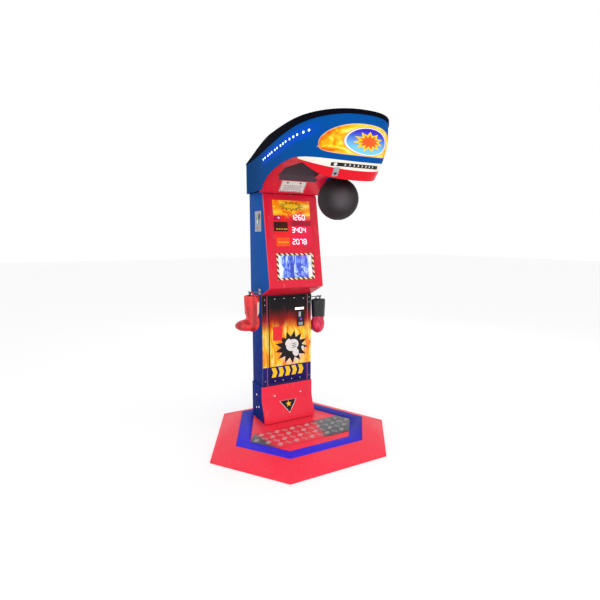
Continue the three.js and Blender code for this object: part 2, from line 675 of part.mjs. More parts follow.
function coverTopZ(y) {
  const rise = Math.min(1, (HOOD_REAR_Y - y) / 540);
  return 2062 + 110 * (1 - (1 - rise) ** 1.6) + 0.031 * Math.max(0, -180 - y);
}

const WHITE_START_Y = -500;
const whiteBottomZ = (y) => 1972 - 0.345 * (WHITE_START_Y - y);
const rimBottomZ = (y) => whiteBottomZ(y) - 60 * smooth((WHITE_START_Y - y) / 190);

const AHEAD_Y = HOOD_NOSE_Y - 40;
const BEHIND_Y = HOOD_REAR_Y + 40;

// the slice of the hood between two side-view lines
function between(lowLine, highLine, [fromY, toY], steps) {
  const ys = spread(fromY, toY, steps);
  const low = ys.map((y) => [y, lowLine(y)]);
  const high = ys.map((y) => [y, highLine(y)]).reverse();
  return prismX([...low, ...high], -400, 400);
}

// ---------------------------------------------------------------- hood pieces

// the liner's underside in side view: up the throat, then forward over the ball's opening
const LINER = [[99, 1826], [0, 1938], [-120, 1975], [-900, 1975]];
const LINER_THICK = 4;
const LINER_HOLE_Y = [-640, 0];
const TUB = { top: 2135, frontY: -435, skin: 4 };

function buildHood() {
  const outer = hoodBody(0);
  const inner = hoodBody(-HOOD_SKIN);
  const band = between(shellBottomZ, shellTopZ, [AHEAD_Y, BEHIND_Y], 48);
  const ledge = cut(
    block([-300, 300], [100, HOOD_REAR_Y - 1], [HOOD_FLOOR_Z, HOOD_FLOOR_Z + HOOD_SKIN]).intersect(outer),
    block([-BOX_HALF_WIDTH - GAP, BOX_HALF_WIDTH + GAP], [0, COLUMN_REAR_Y + GAP], [1800, 1900]),
  );
  addPart('hood_shell', join(cut(outer, inner).intersect(band), ledge), 'blue');

  const lidOuter = hoodBody(COVER_LAP).intersect(
    between((y) => shellTopZ(y) + GAP, (y) => coverTopZ(y) + 2, [AHEAD_Y, BEHIND_Y], 24),
  );
  const lidInner = hoodBody(COVER_LAP - HOOD_SKIN).intersect(
    between((y) => shellTopZ(y) - 40, (y) => coverTopZ(y) - 4, [AHEAD_Y, BEHIND_Y], 24),
  );
  addPart('top_cover', cut(lidOuter, lidInner), 'black');

  const rimBand = between(rimBottomZ, (y) => shellBottomZ(y) - GAP, [AHEAD_Y, WHITE_START_Y - 20], 16);
  addPart('lower_rim', cut(outer, inner).intersect(rimBand), 'red');

  const above = LINER.map(([y, z]) => [y, z + LINER_THICK]).reverse();
  const sheet = prismX([...LINER, ...above], -400, 400).intersect(hoodBody(-HOOD_SKIN - GAP));
  const hole = block([-OPENING_HALF, OPENING_HALF], LINER_HOLE_Y, [1900, 2000]);
  addPart('hood_liner', cut(sheet, hole), 'red');

  const footing = LINER_THICK + 1;
  const tubSide = [
    [LINER[1][0] - 1, LINER[1][1] + footing],
    [LINER[1][0] - 40, TUB.top + TUB.skin],
    [TUB.frontY, TUB.top + TUB.skin],
    [TUB.frontY, LINER[2][1] + footing],
    [LINER[2][0], LINER[2][1] + footing],
  ];
  const tubHollow = [
    [LINER[1][0] - 1 - TUB.skin, LINER[1][1] - 40],
    [LINER[1][0] - 40 - TUB.skin, TUB.top],
    [TUB.frontY - 10, TUB.top],
    [TUB.frontY - 10, LINER[1][1] - 40],
  ];
  const tubHalf = OPENING_HALF + TUB.skin;
  addPart(
    'recess_tub',
    cut(prismX(tubSide, -tubHalf, tubHalf), prismX(tubHollow, -OPENING_HALF, OPENING_HALF)),
    'darkPlastic',
  );
}

// a light strip follows the shell's flank, standing just off its skin
const STRIP = { fromY: -14, toY: -682, fromZ: 2029, toZ: 2096, half: 7, depth: 4 };

function lightStrip(side) {
  const steps = 12;
  const { fromY, toY, fromZ, toZ, half, depth } = STRIP;
  const wall = hoodBody(GAP + depth);
  const core = hoodBody(GAP);
  const line = spread(0, 1, steps).map((t) => {
    const y = fromY + (toY - fromY) * t;
    const z = fromZ + (toZ - fromZ) * t;
    return [y, z];
  });
  const ribbon = [
    ...line.map(([y, z]) => [y, z + half]),
    ...line.map(([y, z]) => [y, z - half]).reverse(),
  ];
  const span = side < 0 ? [-400, -100] : [100, 400];
  return cut(wall, core).intersect(prismX(ribbon, ...span));
}

// ---------------------------------------------------------------- swing mechanism

const RAIL_X = [165, 195];
const RAIL_Z = [FRAME_TOP_Z, FRAME_TOP_Z + 40];
const CARRIER_Y = [-600, -445];
const CARRIER_THICK = 8;
const CARRIER_Z = RAIL_Z[1]; // underside of the plate that carries the bearings
const BEARING_X = [80, 104];
const SENSOR_X = [-62, -35];
const ENCODER = { x: [-50, -47], radius: 42, slots: 12 };
const LATCH_X = [50, 56];
const LATCH_RADIUS = 42;
const SWING_LIMIT = 88; // degrees the ball swings up before the latch
const PAWL = { y: -470, z: 2022, bore: 4, tip: { y: -509, z: 2024 } };
const PLUNGER = { x: 53, y: -449, radius: 4, bottomZ: 1982, topZ: 2017 };
// the pawl in side view, from its tip over the latch disc back to its tail over the plunger
const PAWL_OUTLINE = [
  [-511, 2022.5], [-506, 2020], [-476, 2016], [-444, 2018], [-444, 2026], [-476, 2028], [-506, 2028],
];
const SOLENOID = { x: [40, 66], y: [-462, -436], z: [1950, 1996], boreZ: 1965, pinX: [40, 100] };
const SOLENOID_STRAP = { x: [65, 69], y: [-490, -446], z: 1955 };
const RAIL_FRONT_Y = [-640, -600];
const HUB_RADIUS = 26;
const LEFT_BEARING_X = [-104, -80];
const SHAFT_HALF = 112;
const SENSOR = { half: 12, z: 2016, slotHalf: 20, slotZ: [2000, 2039], clear: 3 };
const BUMPER = { half: 25, y: [-480, -450], z: 2009 };
const ARM = { hubRadius: 24, hubX: -22, stemRadius: 12.5, flangeRadius: 30, flangeThick: 16 };
const NOTCH = { depth: 30, half: 6 };
const SLIT = { x: 10, y: 3, z: 8, radius: 35 };

function buildHoodFrame() {
  const rails = pair(RAIL_X, [RAIL_FRONT_Y[0], REAR_UPRIGHT_Y[1]], RAIL_Z);
  const frontBar = block([-RAIL_X[1], RAIL_X[1]], RAIL_FRONT_Y, RAIL_Z);
  const rearBar = block([-RAIL_X[1], RAIL_X[1]], REAR_UPRIGHT_Y, RAIL_Z);
  const carrier = block([-RAIL_X[1], RAIL_X[1]], CARRIER_Y, [CARRIER_Z, CARRIER_Z + CARRIER_THICK]);
  addPart('hood_frame', join(...rails, frontBar, rearBar, carrier), 'darkSteel');

  const hang = CARRIER_Z - GAP;
  const bore = rodAt('x', SHAFT_RADIUS + GAP, -THROUGH, THROUGH, [0, PIVOT.y, PIVOT.z], 32);
  for (const [name, span] of [['bearing_left', LEFT_BEARING_X], ['bearing_right', BEARING_X]]) {
    const housing = join(
      block(span, [PIVOT.y - HUB_RADIUS, PIVOT.y + HUB_RADIUS], [PIVOT.z - 4, hang]),
      rodAt('x', HUB_RADIUS, span[0], span[1], [0, PIVOT.y, PIVOT.z], 32),
    );
    addPart(name, cut(housing, bore), 'darkSteel');
  }

  const sensor = cut(
    block(SENSOR_X, [PIVOT.y - SENSOR.half, PIVOT.y + SENSOR.half], [SENSOR.z, hang]),
    block(
      [ENCODER.x[0] - SENSOR.clear, ENCODER.x[1] + SENSOR.clear],
      [PIVOT.y - SENSOR.slotHalf, PIVOT.y + SENSOR.slotHalf],
      SENSOR.slotZ,
    ),
  );
  addPart('encoder_sensor', sensor, 'darkPlastic');
  addPart('stop_bumper', block([-BUMPER.half, BUMPER.half], BUMPER.y, [BUMPER.z, hang]), 'rubber');
}

function buildSwing() {
  const centre = [0, PIVOT.y, PIVOT.z];
  const bore = rodAt('x', SHAFT_RADIUS + GAP, -THROUGH, THROUGH, centre, 32);
  const shaft = rodAt('x', SHAFT_RADIUS, -SHAFT_HALF, SHAFT_HALF, centre, 32);
  addPart('pivot_shaft', shaft, 'steel');

  const ballTop = BALL_Z + BALL_RADIUS;
  // the notch comes round to the pawl's tip when the ball is at the top of its swing
  const tipBearing = THREE.MathUtils.radToDeg(
    Math.atan2(PAWL.tip.z - PIVOT.z, PAWL.tip.y - PIVOT.y),
  );
  const notch = block([0, THROUGH], [NOTCH.depth, LATCH_RADIUS + 5], [-NOTCH.half, NOTCH.half])
    .rotate([tipBearing - SWING_LIMIT, 0, 0])
    .translate(centre);
  const arm = cut(
    join(
      rodAt('x', ARM.hubRadius, ARM.hubX, LATCH_X[1], centre, 32),
      cut(rodAt('x', LATCH_RADIUS, LATCH_X[0], LATCH_X[1], centre, 32), notch),
      rodAt('z', ARM.stemRadius, ballTop + 6, PIVOT.z, [0, PIVOT.y, 0]),
      rodAt('z', ARM.flangeRadius, ballTop + GAP, ballTop + ARM.flangeThick, [0, PIVOT.y, 0]),
    ),
    bore,
  );
  addPart('swing_arm', arm, 'steel');

  const ball = new THREE.SphereGeometry(BALL_RADIUS, 36, 20).rotateX(Math.PI / 2);
  addPart('punch_ball', toSolid(ball.translate(0, PIVOT.y, BALL_Z)), 'leather');

  const slits = spread(0, 2 * Math.PI, ENCODER.slots).slice(1).map((angle) => {
    const slit = new THREE.BoxGeometry(SLIT.x, SLIT.y, SLIT.z).translate(0, 0, SLIT.radius).rotateX(angle);
    return toSolid(slit.translate((ENCODER.x[0] + ENCODER.x[1]) / 2, PIVOT.y, PIVOT.z));
  });
  const disc = rodAt('x', ENCODER.radius, ENCODER.x[0], ENCODER.x[1], centre, 36);
  addPart('encoder_disc', cut(disc, bore, ...slits), 'darkPlastic');
}

function buildLatch() {
  const bar = prismX(PAWL_OUTLINE, LATCH_X[0], LATCH_X[1]);
  const pin = rodAt('x', PAWL.bore, LATCH_X[0] - 6, LATCH_X[1] + 14, [0, PAWL.y, PAWL.z], 16);
  addPart('latch_pawl', join(bar, pin), 'steel');

  const plungerAt = [PLUNGER.x, PLUNGER.y, 0];
  const plunger = rodAt('z', PLUNGER.radius, PLUNGER.bottomZ, PLUNGER.topZ, plungerAt, 16);
  addPart('plunger', plunger, 'chrome');

  const body = cut(
    block(SOLENOID.x, SOLENOID.y, SOLENOID.z),
    rodAt('z', PLUNGER.radius + GAP, SOLENOID.boreZ, SOLENOID.z[1] + 4, plungerAt, 16),
  );
  const strap = block(SOLENOID_STRAP.x, SOLENOID_STRAP.y, [SOLENOID_STRAP.z, CARRIER_Z - GAP]);
  const pinHole = rodAt('x', PAWL.bore + GAP, ...SOLENOID.pinX, [0, PAWL.y, PAWL.z], 16);
  addPart('solenoid', cut(join(body, strap), pinHole), 'darkSteel');
}

// ---------------------------------------------------------------- gloves

const GLOVE = { x: 289, y: 170, rodZ: 1103, rightDrop: 65, rodRadius: 5 };
const CUFF = [{ rx: 46, ry: 46, z: 922 }, { rx: 56, ry: 49, z: 945 }, { rx: 62, ry: 50, z: 1080 }];
const CUFF_HOLLOW = [{ rx: 34, ry: 32, z: 962 }, { rx: 52, ry: 41, z: 1081 }];
const PALM = { radii: [57, 57, 78], inward: 4, z: 880 };
const FIST = { long: 98, wide: 57, high: 46, reach: 38, z: 858 };

function ellipsoid([rx, ry, rz], [x, y, z]) {
  const geometry = new THREE.SphereGeometry(1, 20, 12).scale(rx, ry, rz);
  return toSolid(geometry.translate(x, y, z));
}

// a glove hanging by its cuff strap, drawn for the left side, with its fist curled outwards or backwards
function gloveSolid(fistBack) {
  const { x, y, rodZ } = GLOVE;
  const ring = (rx, ry) =>
    spread(0, 2 * Math.PI, 20).slice(1).map((a) => [rx * Math.cos(a) - x, ry * Math.sin(a) + y]);
  const sleeve = (levels) => stack(levels.map(({ rx, ry, z }) => ({ points: ring(rx, ry), z })));
  const palm = ellipsoid(PALM.radii, [-x + PALM.inward, y, PALM.z]);
  const { long, wide, high, reach } = FIST;
  const fist = fistBack
    ? ellipsoid([wide, long, high], [-x, y + reach, FIST.z])
    : ellipsoid([long, wide, high], [-x - reach, y, FIST.z]);
  const band = [
    [y - 44, 1074], [y - 10, rodZ + 8], [y + 10, rodZ + 8], [y + 44, 1074],
    [y + 41, 1074], [y + 8, rodZ + 5.6], [y - 8, rodZ + 5.6], [y - 41, 1074],
  ];
  const strap = prismX(band, -x - 10, 10 - x);
  return join(cut(join(sleeve(CUFF), palm, fist), sleeve(CUFF_HOLLOW)), strap);
}

function hookSolid(faceX) {
  const { x, y, rodZ, rodRadius } = GLOVE;
  const plate = block([-faceX - GAP - 3, -faceX - GAP], [y - 20, y + 20], [rodZ - 22, rodZ + 22]);
  const bar = rodAt('x', rodRadius, -x - 20, -faceX - 1, [0, y, rodZ], 16);
  const knob = rodAt('x', rodRadius + 4, -x - 26, -x - 18, [0, y, rodZ], 16);
  return join(plate, bar, knob);
}

function buildGloves() {
  const mirror = (solid) => solid.mirror([1, 0, 0]).translate([0, 0, -GLOVE.rightDrop]);
  addPart('glove_hook_left', hookSolid(BOX_HALF_WIDTH), 'steel');
  addPart('glove_hook_right', mirror(hookSolid(COLUMN_HALF_WIDTH)), 'steel');
  addPart('glove_left', gloveSolid(false), 'vinyl');
  addPart('glove_right', mirror(gloveSolid(true)), 'vinyl');
}

// ---------------------------------------------------------------- assembly

buildBase();
buildFoot();
buildLowerColumn();
buildColumnFrame();
buildCoinDoor();
buildRear();
buildUpperBox();
buildDisplays();
buildHood();
addPart('light_strip_left', lightStrip(-1), 'light');
addPart('light_strip_right', lightStrip(1), 'light');
buildHoodFrame();
buildSwing();
buildLatch();
buildGloves();

export default machine;
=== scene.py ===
import json
import math

import bmesh
import bpy
import numpy as np
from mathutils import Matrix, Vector
from mathutils.bvhtree import BVHTree


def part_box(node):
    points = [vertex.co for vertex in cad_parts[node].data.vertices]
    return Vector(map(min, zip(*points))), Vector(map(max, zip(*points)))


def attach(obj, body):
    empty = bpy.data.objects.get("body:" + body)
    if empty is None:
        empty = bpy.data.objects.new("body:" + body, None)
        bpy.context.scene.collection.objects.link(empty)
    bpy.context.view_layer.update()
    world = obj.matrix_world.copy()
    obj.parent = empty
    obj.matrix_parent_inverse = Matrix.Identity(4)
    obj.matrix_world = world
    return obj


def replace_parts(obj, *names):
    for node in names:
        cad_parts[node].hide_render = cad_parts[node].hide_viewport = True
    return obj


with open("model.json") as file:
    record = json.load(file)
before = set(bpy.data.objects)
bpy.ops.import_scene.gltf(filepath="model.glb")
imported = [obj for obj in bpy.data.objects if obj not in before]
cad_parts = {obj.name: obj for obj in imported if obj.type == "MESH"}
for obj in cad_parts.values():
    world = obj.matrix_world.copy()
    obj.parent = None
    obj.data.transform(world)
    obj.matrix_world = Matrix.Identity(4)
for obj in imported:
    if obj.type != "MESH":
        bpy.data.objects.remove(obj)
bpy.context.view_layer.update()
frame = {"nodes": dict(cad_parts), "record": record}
nodes = frame["nodes"]
slot_of = {p["node"]: p["material_slot"] for p in frame["record"]["subparts"]}
body_of = {n: b for b, members in frame["record"]["behaviour"]["bodies"].items() for n in members}

MM = 0.001
PLAN_SHIFT = 107  # the column's own axis lies this far behind the frame's origin, in mm
PEEL_SCALE, PRINT_GRAIN, MOULD_GRAIN = 260.0, 300.0, 700.0  # grain of paint, print and mouldings


def at(x, y, z):
    """A point given in mm from the column's own axis, in the frame's metres."""
    return Vector((x * MM, (y + PLAN_SHIFT) * MM, z * MM))


# ---- material graphs


def rgb(r, g, b):
    """A screen colour from 0 to 255 as linear light."""
    def linear(c):
        c /= 255
        return c / 12.92 if c <= 0.04045 else ((c + 0.055) / 1.055) ** 2.4
    return (linear(r), linear(g), linear(b), 1.0)


def arithmetic(operation, swapped=False):
    """A Value's operator, which puts both sides through one math node."""
    def apply(self, other):
        sides = (other, self) if swapped else (self, other)
        return self.look.math(operation, *sides)
    return apply


class Value:
    """A number in a material's graph, which can be added, multiplied and so on."""

    def __init__(self, look, socket):
        self.look, self.socket = look, socket

    __add__ = __radd__ = arithmetic("ADD")
    __sub__ = arithmetic("SUBTRACT")
    __rsub__ = arithmetic("SUBTRACT", swapped=True)
    __mul__ = __rmul__ = arithmetic("MULTIPLY")
    __truediv__ = arithmetic("DIVIDE")

    def inverse(self):
        return 1.0 - self


class Look:
    """A procedural material being built, with the piece's own coordinates in metres as x, y and z."""

    def __init__(self, name):
        self.material = bpy.data.materials.new(name)
        self.material.use_nodes = True
        self.tree = self.material.node_tree
        self.shader = self.tree.nodes["Principled BSDF"]
        self.coords = self.node("ShaderNodeTexCoord").outputs["Object"]
        split = self.node("ShaderNodeSeparateXYZ")
        self.tree.links.new(self.coords, split.inputs[0])
        self.x, self.y, self.z = (Value(self, split.outputs[i]) for i in range(3))

    def node(self, kind, **settings):
        made = self.tree.nodes.new(kind)
        for key, value in settings.items():
            setattr(made, key, value)
        return made

    def feed(self, socket, value):
        if isinstance(value, Value):
            value = value.socket
        if isinstance(value, bpy.types.NodeSocket):
            self.tree.links.new(value, socket)
        else:
            socket.default_value = value

    def math(self, operation, *values):
        made = self.node("ShaderNodeMath", operation=operation)
        for socket, value in zip(made.inputs, values):
            self.feed(socket, value)
        return Value(self, made.outputs[0])

    def step(self, value, low, high):
        """0 below low, 1 above high, and smooth between."""
        made = self.node("ShaderNodeMapRange", interpolation_type="SMOOTHSTEP")
        self.feed(made.inputs["Value"], value)
        self.feed(made.inputs["From Min"], low)
        self.feed(made.inputs["From Max"], high)
        return Value(self, made.outputs["Result"])

    def fall(self, value, low, high):
        """1 below low, 0 above high, and smooth between."""
        return self.step(value, low, high).inverse()

    def between(self, value, low, high, soft):
        rising = self.step(value, low - soft, low + soft)
        return rising * self.fall(value, high - soft, high + soft)

    def radius(self, across, rise):
        return self.math("SQRT", across * across + rise * rise)

    def texture(self, kind, output, stretch=(1, 1, 1), **inputs):
        """A texture over the piece's own coordinates, stretched along each axis."""
        mapping, made = self.node("ShaderNodeMapping"), self.node(kind)
        self.tree.links.new(self.coords, mapping.inputs["Vector"])
        mapping.inputs["Scale"].default_value = stretch
        self.tree.links.new(mapping.outputs[0], made.inputs["Vector"])
        for key, value in inputs.items():
            made.inputs[key].default_value = value
        return Value(self, made.outputs[output])

    def noise(self, scale, detail=3.0, stretch=(1, 1, 1), distortion=0.0):
        settings = {"Scale": scale, "Detail": detail, "Distortion": distortion}
        return self.texture("ShaderNodeTexNoise", "Fac", stretch, **settings)

    def drift(self):
        """A slow change across the whole piece, for uneven colour."""
        return self.noise(3.0, 4.0)

    def cells(self, scale):
        return self.texture("ShaderNodeTexVoronoi", "Distance", Scale=scale)

    def mix(self, amount, low, high):
        made = self.node("ShaderNodeMix", data_type="RGBA")
        self.feed(made.inputs[0], amount)
        self.feed(made.inputs[6], low)
        self.feed(made.inputs[7], high)
        return made.outputs[2]

    def ramp(self, value, *stops):
        made = self.node("ShaderNodeValToRGB")
        self.feed(made.inputs[0], value)
        elements = made.color_ramp.elements
        while len(elements) < len(stops):
            elements.new(0.5)
        for element, (place, color) in zip(elements, stops):
            element.position = place
            element.color = color
        return made.outputs[0]

    def peel(self, distance, scale=PEEL_SCALE):
        """Orange peel: a very fine, very shallow unevenness."""
        return self.bump(self.noise(scale, 2.0), distance)

    def bump(self, height, distance):
        made = self.node("ShaderNodeBump")
        made.inputs["Distance"].default_value = distance
        self.feed(made.inputs["Height"], height)
        self.tree.links.new(made.outputs[0], self.shader.inputs["Normal"])
        return self

    def set(self, **inputs):
        for key, value in inputs.items():
            self.feed(self.shader.inputs[key.replace("_", " ")], value)
        return self

    def glow(self, color, strength):
        """Light of the surface's own."""
        return self.set(Emission_Color=color, Emission_Strength=strength)


def painted(name, color, dark, rough=0.32, coat=0.12, gloss=0.2, worn=0.10):
    """Gloss paint with faint colour drift, dust low down, fine scuffs and orange peel."""
    look = Look(name)
    drift = look.drift()
    scuffs = look.step(look.noise(60.0, 6.0, (1, 1, 0.25)), 0.62, 0.74)
    dust = look.fall(look.z, 0.0, 0.5) * look.noise(9.0, 5.0)
    body = look.mix(drift * 0.55, color, dark)
    body = look.mix(scuffs * worn, body, rgb(225, 220, 220))
    body = look.mix(dust * 0.10, body, rgb(150, 140, 135))
    look.set(Base_Color=body, Roughness=rough + scuffs * 0.18 + drift * 0.08)
    look.set(Coat_Weight=coat, Coat_Roughness=0.12, Specular_IOR_Level=gloss)
    return look.peel(0.00006)


def metal(name, color, rough, wear=0.25):
    """Brushed metal with darker patches."""
    look = Look(name)
    brush = look.noise(90.0, 4.0, (1, 1, 40))
    patches = look.noise(14.0, 4.0)
    look.set(Base_Color=look.mix(patches * wear, color, rgb(70, 66, 62)), Metallic=1.0)
    look.set(Roughness=rough + brush * 0.14 + patches * 0.10)
    return look.bump(brush, 0.00004)


def moulded(name, color, dark, rough, coat=0.0, grain=0.00003):
    """Plastic, print or rubber, mottled between two colours."""
    look = Look(name)
    look.set(Base_Color=look.mix(look.noise(18.0, 4.0) * 0.6, color, dark))
    look.set(Roughness=rough + look.noise(40.0, 3.0) * 0.12, Coat_Weight=coat, Specular_IOR_Level=0.25)
    return look.peel(grain, MOULD_GRAIN)


BLACK = rgb(12, 12, 15)
WHITE = rgb(245, 245, 245)
NAVY = rgb(24, 26, 105)
FLAME = (
    (0.00, rgb(196, 20, 16)),
    (0.30, rgb(236, 74, 14)),
    (0.52, rgb(250, 142, 16)),
    (0.72, rgb(255, 205, 40)),
    (1.00, rgb(255, 243, 160)),
)

RED = painted("red_paint", rgb(226, 30, 58), rgb(196, 18, 44))
BASE_RED = painted("base_red_paint", rgb(246, 40, 68), rgb(222, 28, 56), 0.42, 0.05)


def ring_look():
    """Violet-blue steel, rubbed lighter where it is trodden on, with painted shade darkening it towards the
    back.
    """
    look = Look("ring_paint")
    drift = look.drift()
    rubbed = look.step(look.noise(26.0, 6.0), 0.60, 0.76)
    # painted shade: the ring darkens towards the back right
    back = look.step(look.x + look.y, -0.35, 0.45)
    body = look.mix(drift * 0.4, rgb(58, 46, 216), rgb(36, 34, 178))
    body = look.mix(back * 0.85, body, rgb(24, 30, 136))
    body = look.mix(rubbed * 0.22, body, rgb(130, 130, 215))
    look.set(Base_Color=body, Roughness=0.4 + rubbed * 0.2, Specular_IOR_Level=0.05)
    return look.peel(0.00005)


RING = ring_look()


def side_blue():
    """Blue board that darkens to navy low on the column."""
    look = Look("blue_paint")
    drift = look.drift()
    scuffs = look.step(look.noise(60.0, 6.0, (1, 1, 0.25)), 0.64, 0.76)
    low = look.fall(look.z, 0.45, 1.25)
    body = look.mix(drift * 0.5, rgb(30, 84, 160), rgb(20, 60, 132))
    body = look.mix(low * 0.85, body, rgb(28, 34, 112))
    body = look.mix(scuffs * 0.08, body, rgb(200, 205, 215))
    look.set(Base_Color=body, Roughness=0.42 + drift * 0.1, Specular_IOR_Level=0.01)
    return look.peel(0.00005)


BLUE = side_blue()
LID_WORN = 0.012
TOP_BLACK = painted("black_gloss", rgb(10, 10, 20), rgb(6, 6, 12), 0.2, 0.03, 0.0, LID_WORN)
CHROME = metal("chrome_plate", rgb(225, 228, 232), 0.07, wear=0.08)
ZINC = metal("zinc_steel", rgb(168, 172, 176), 0.34)
DARK_STEEL = metal("dark_steel", rgb(62, 63, 68), 0.45)
PLASTIC = moulded("dark_plastic", rgb(40, 38, 42), rgb(24, 23, 26), 0.5)
RUBBER = moulded("rubber", rgb(26, 26, 28), rgb(16, 16, 17), 0.8, grain=0.00008)
BOARD = moulded("circuit_board", rgb(26, 100, 52), rgb(16, 66, 36), 0.45)
BUTTON = moulded("purple_button", rgb(128, 60, 190), rgb(92, 36, 150), 0.22, coat=0.5)
# painted shade: the dark grey of the shadowed recess under the hood
RECESS_SHADE = moulded("recess_shade_plastic", rgb(84, 66, 74), rgb(58, 44, 52), 0.6)
PANEL_BLACK = moulded("panel_black", rgb(14, 12, 16), rgb(8, 8, 10), 0.28, coat=0.08)
PALE = moulded("pale_print", rgb(232, 228, 222), rgb(205, 200, 196), 0.4)
SPOT = moulded("black_print", rgb(18, 16, 20), rgb(10, 9, 12), 0.4)
GOLD = moulded("yellow_print", rgb(252, 212, 30), rgb(240, 160, 20), 0.35)
PINK = moulded("pink_pinstripe", rgb(238, 96, 150), rgb(210, 66, 130), 0.35)
SIGNAL_RED = moulded("red_price_plate", rgb(236, 26, 36), rgb(205, 16, 26), 0.3, coat=0.3)


STUD_FOOT, STUD_TOP = 0.0727, 0.0738  # the height at which the tread's paint gives way to bare bars


def tread_look():
    """Worn chequer plate: red paint left between the studs, bare steel where feet rub."""
    look = Look("worn_tread")
    wear = look.noise(5.0, 6.0, distortion=0.4)
    right = look.step(look.x + (wear - 0.5) * 0.30, 0.06, 0.15)
    left = look.fall(look.x + (wear - 0.5) * 0.20, -0.36, -0.30)
    kept = look.math("MAXIMUM", right, left).inverse()
    kept = kept * look.fall(look.z, STUD_FOOT, 0.0734)
    steel = look.mix(look.noise(30.0, 5.0), rgb(104, 106, 112), rgb(66, 66, 72))
    bright = look.mix(look.step(look.z, STUD_FOOT, STUD_TOP), steel, rgb(214, 200, 196))
    look.set(Base_Color=look.mix(kept, bright, rgb(222, 40, 62)))
    look.set(Metallic=kept.inverse() * 0.85, Roughness=0.34 + kept * 0.2)
    return look.bump(look.noise(160.0, 5.0), 0.0001)


def front_print():
    """The column's printed front: night above, fire below it, and a navy band at the foot."""
    look = Look("flame_print")
    warp = look.noise(6.0, 4.0, (1.6, 1, 0.7), 1.2) - 0.5
    height = (look.z - 0.51) / 0.48 + warp * 0.34
    tongues = look.noise(11.0, 5.0, (1.8, 1, 0.5), 1.6)
    heat = look.ramp(tongues * 1.5 - 0.08, *FLAME)
    upper = look.step(height, 0.62, 0.98)
    ember = look.mix(look.step(height, 0.52, 0.80), heat, rgb(190, 24, 14))
    sheet = look.mix(upper, ember, rgb(12, 6, 12))
    across = (look.x - 0.045) / 0.125
    rise = (look.z - 0.625) / 0.13
    distance = look.radius(across, rise) + warp * 0.5
    pale = look.fall(distance, 0.55, 1.05)
    sheet = look.mix(pale * 0.85, sheet, rgb(250, 222, 205))
    sheet = look.mix(look.fall(look.z, 0.5085, 0.5105), sheet, NAVY)
    dusk = look.fall(look.z, 0.35, 0.50)
    sheet = look.mix(dusk * 0.5, sheet, rgb(20, 12, 44))
    skin = max(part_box(node)[0].y for node in ("coin_door", "front_frame"))
    sheet = look.mix(look.step(look.y, skin + 0.0012, skin + 0.0016), sheet, rgb(58, 58, 64))
    look.set(Base_Color=sheet, Roughness=0.3 + look.noise(50.0, 3.0) * 0.08, Coat_Weight=0.08)
    look.set(Specular_IOR_Level=0.15)
    return look.peel(0.00003, PRINT_GRAIN)


FACE_LOW = at(0, -15, 1143)
FACE_TILT = math.atan2(96 + 15, 1822 - 1143)


def up_face(look):
    """Distance up the sloping face, in metres."""
    rise = look.z - FACE_LOW.z
    back = look.y - FACE_LOW.y
    return rise * math.cos(FACE_TILT) + back * math.sin(FACE_TILT)


def score_print():
    """The backlit score panel: a fiery top over glowing red."""
    look = Look("score_print")
    up = up_face(look)
    tongues = look.noise(16.0, 5.0, (0.6, 1, 1.6), 1.5)
    fire = look.ramp(tongues * 1.2, *FLAME)
    left = look.fall(look.x, -0.06, 0.02)
    red = look.mix(look.noise(9.0, 3.0), rgb(214, 16, 48), rgb(232, 20, 78))
    red = look.mix(left * 0.8, red, rgb(226, 36, 30))
    top = look.step(up + (tongues - 0.5) * 0.10, 0.505, 0.555)
    sheet = look.mix(top, red, fire)
    band = look.between(up, 0.455, 0.492, 0.003) * left.inverse()
    sheet = look.mix(band * 0.85, sheet, rgb(140, 4, 30))
    look.set(Base_Color=sheet, Roughness=0.3, Coat_Weight=0.08, Specular_IOR_Level=0.2)
    look.glow(sheet, 0.12)
    return look.peel(0.00002, PRINT_GRAIN)


def hazard_look():
    """Diagonal black and cream stripes."""
    look = Look("hazard_stripes")
    saw = look.math("FRACT", (look.x + up_face(look)) / 0.040)
    stripes = look.between(saw, 0.25, 0.75, 0.03)
    cream = look.mix(look.noise(20.0, 3.0), rgb(250, 226, 176), rgb(240, 206, 150))
    look.set(Base_Color=look.mix(stripes, rgb(20, 14, 14), cream), Roughness=0.3)
    return look.peel(0.00002, PRINT_GRAIN)


def picture_look():
    """A backlit abstract picture in blues, violet and white."""
    look = Look("backlit_picture")
    flow = look.noise(17.0, 5.0, (1.6, 1, 0.7), 2.2)
    wings = look.step(look.math("ABSOLUTE", look.x), 0.055, 0.15) * 0.26
    figures = look.between(look.math("FRACT", look.x / 0.062), 0.2, 0.75, 0.1) * 0.12
    tone = look.ramp(
        flow + wings - figures,
        (0.34, rgb(44, 58, 176)),
        (0.46, rgb(70, 104, 220)),
        (0.55, rgb(140, 168, 240)),
        (0.66, rgb(206, 220, 250)),
        (0.80, rgb(236, 240, 255)),
    )
    violet = look.between(look.x, 0.045, 0.095, 0.02) * look.step(up_face(look), 0.19, 0.24)
    tone = look.mix(violet * 0.75, tone, rgb(142, 92, 222))
    look.set(Base_Color=look.mix(0.55, tone, BLACK), Roughness=0.1, Coat_Weight=0.1)
    look.glow(tone, 0.75)
    return look.bump(flow, 0.00002)


TREAD = tread_look()
FRONT = front_print()
SCORE = score_print()
HAZARD = hazard_look()
PICTURE = picture_look()


def lamp(name, color, strength):
    """A lit lens, a little brighter in its grain."""
    look = Look(name)
    look.set(Base_Color=color, Roughness=0.25)
    look.glow(look.mix(look.noise(200.0, 2.0) * 0.3, color, WHITE), strength)
    return look


LED = lamp("led_lens", rgb(190, 236, 255), 2.0)
DIGIT = lamp("digit_lens", rgb(255, 214, 232), 1.3)
COIN_LAMP = lamp("coin_light", rgb(255, 250, 240), 1.6)

# ---- mesh helpers

SHARP = 32  # degrees between faces from which an edge counts as one


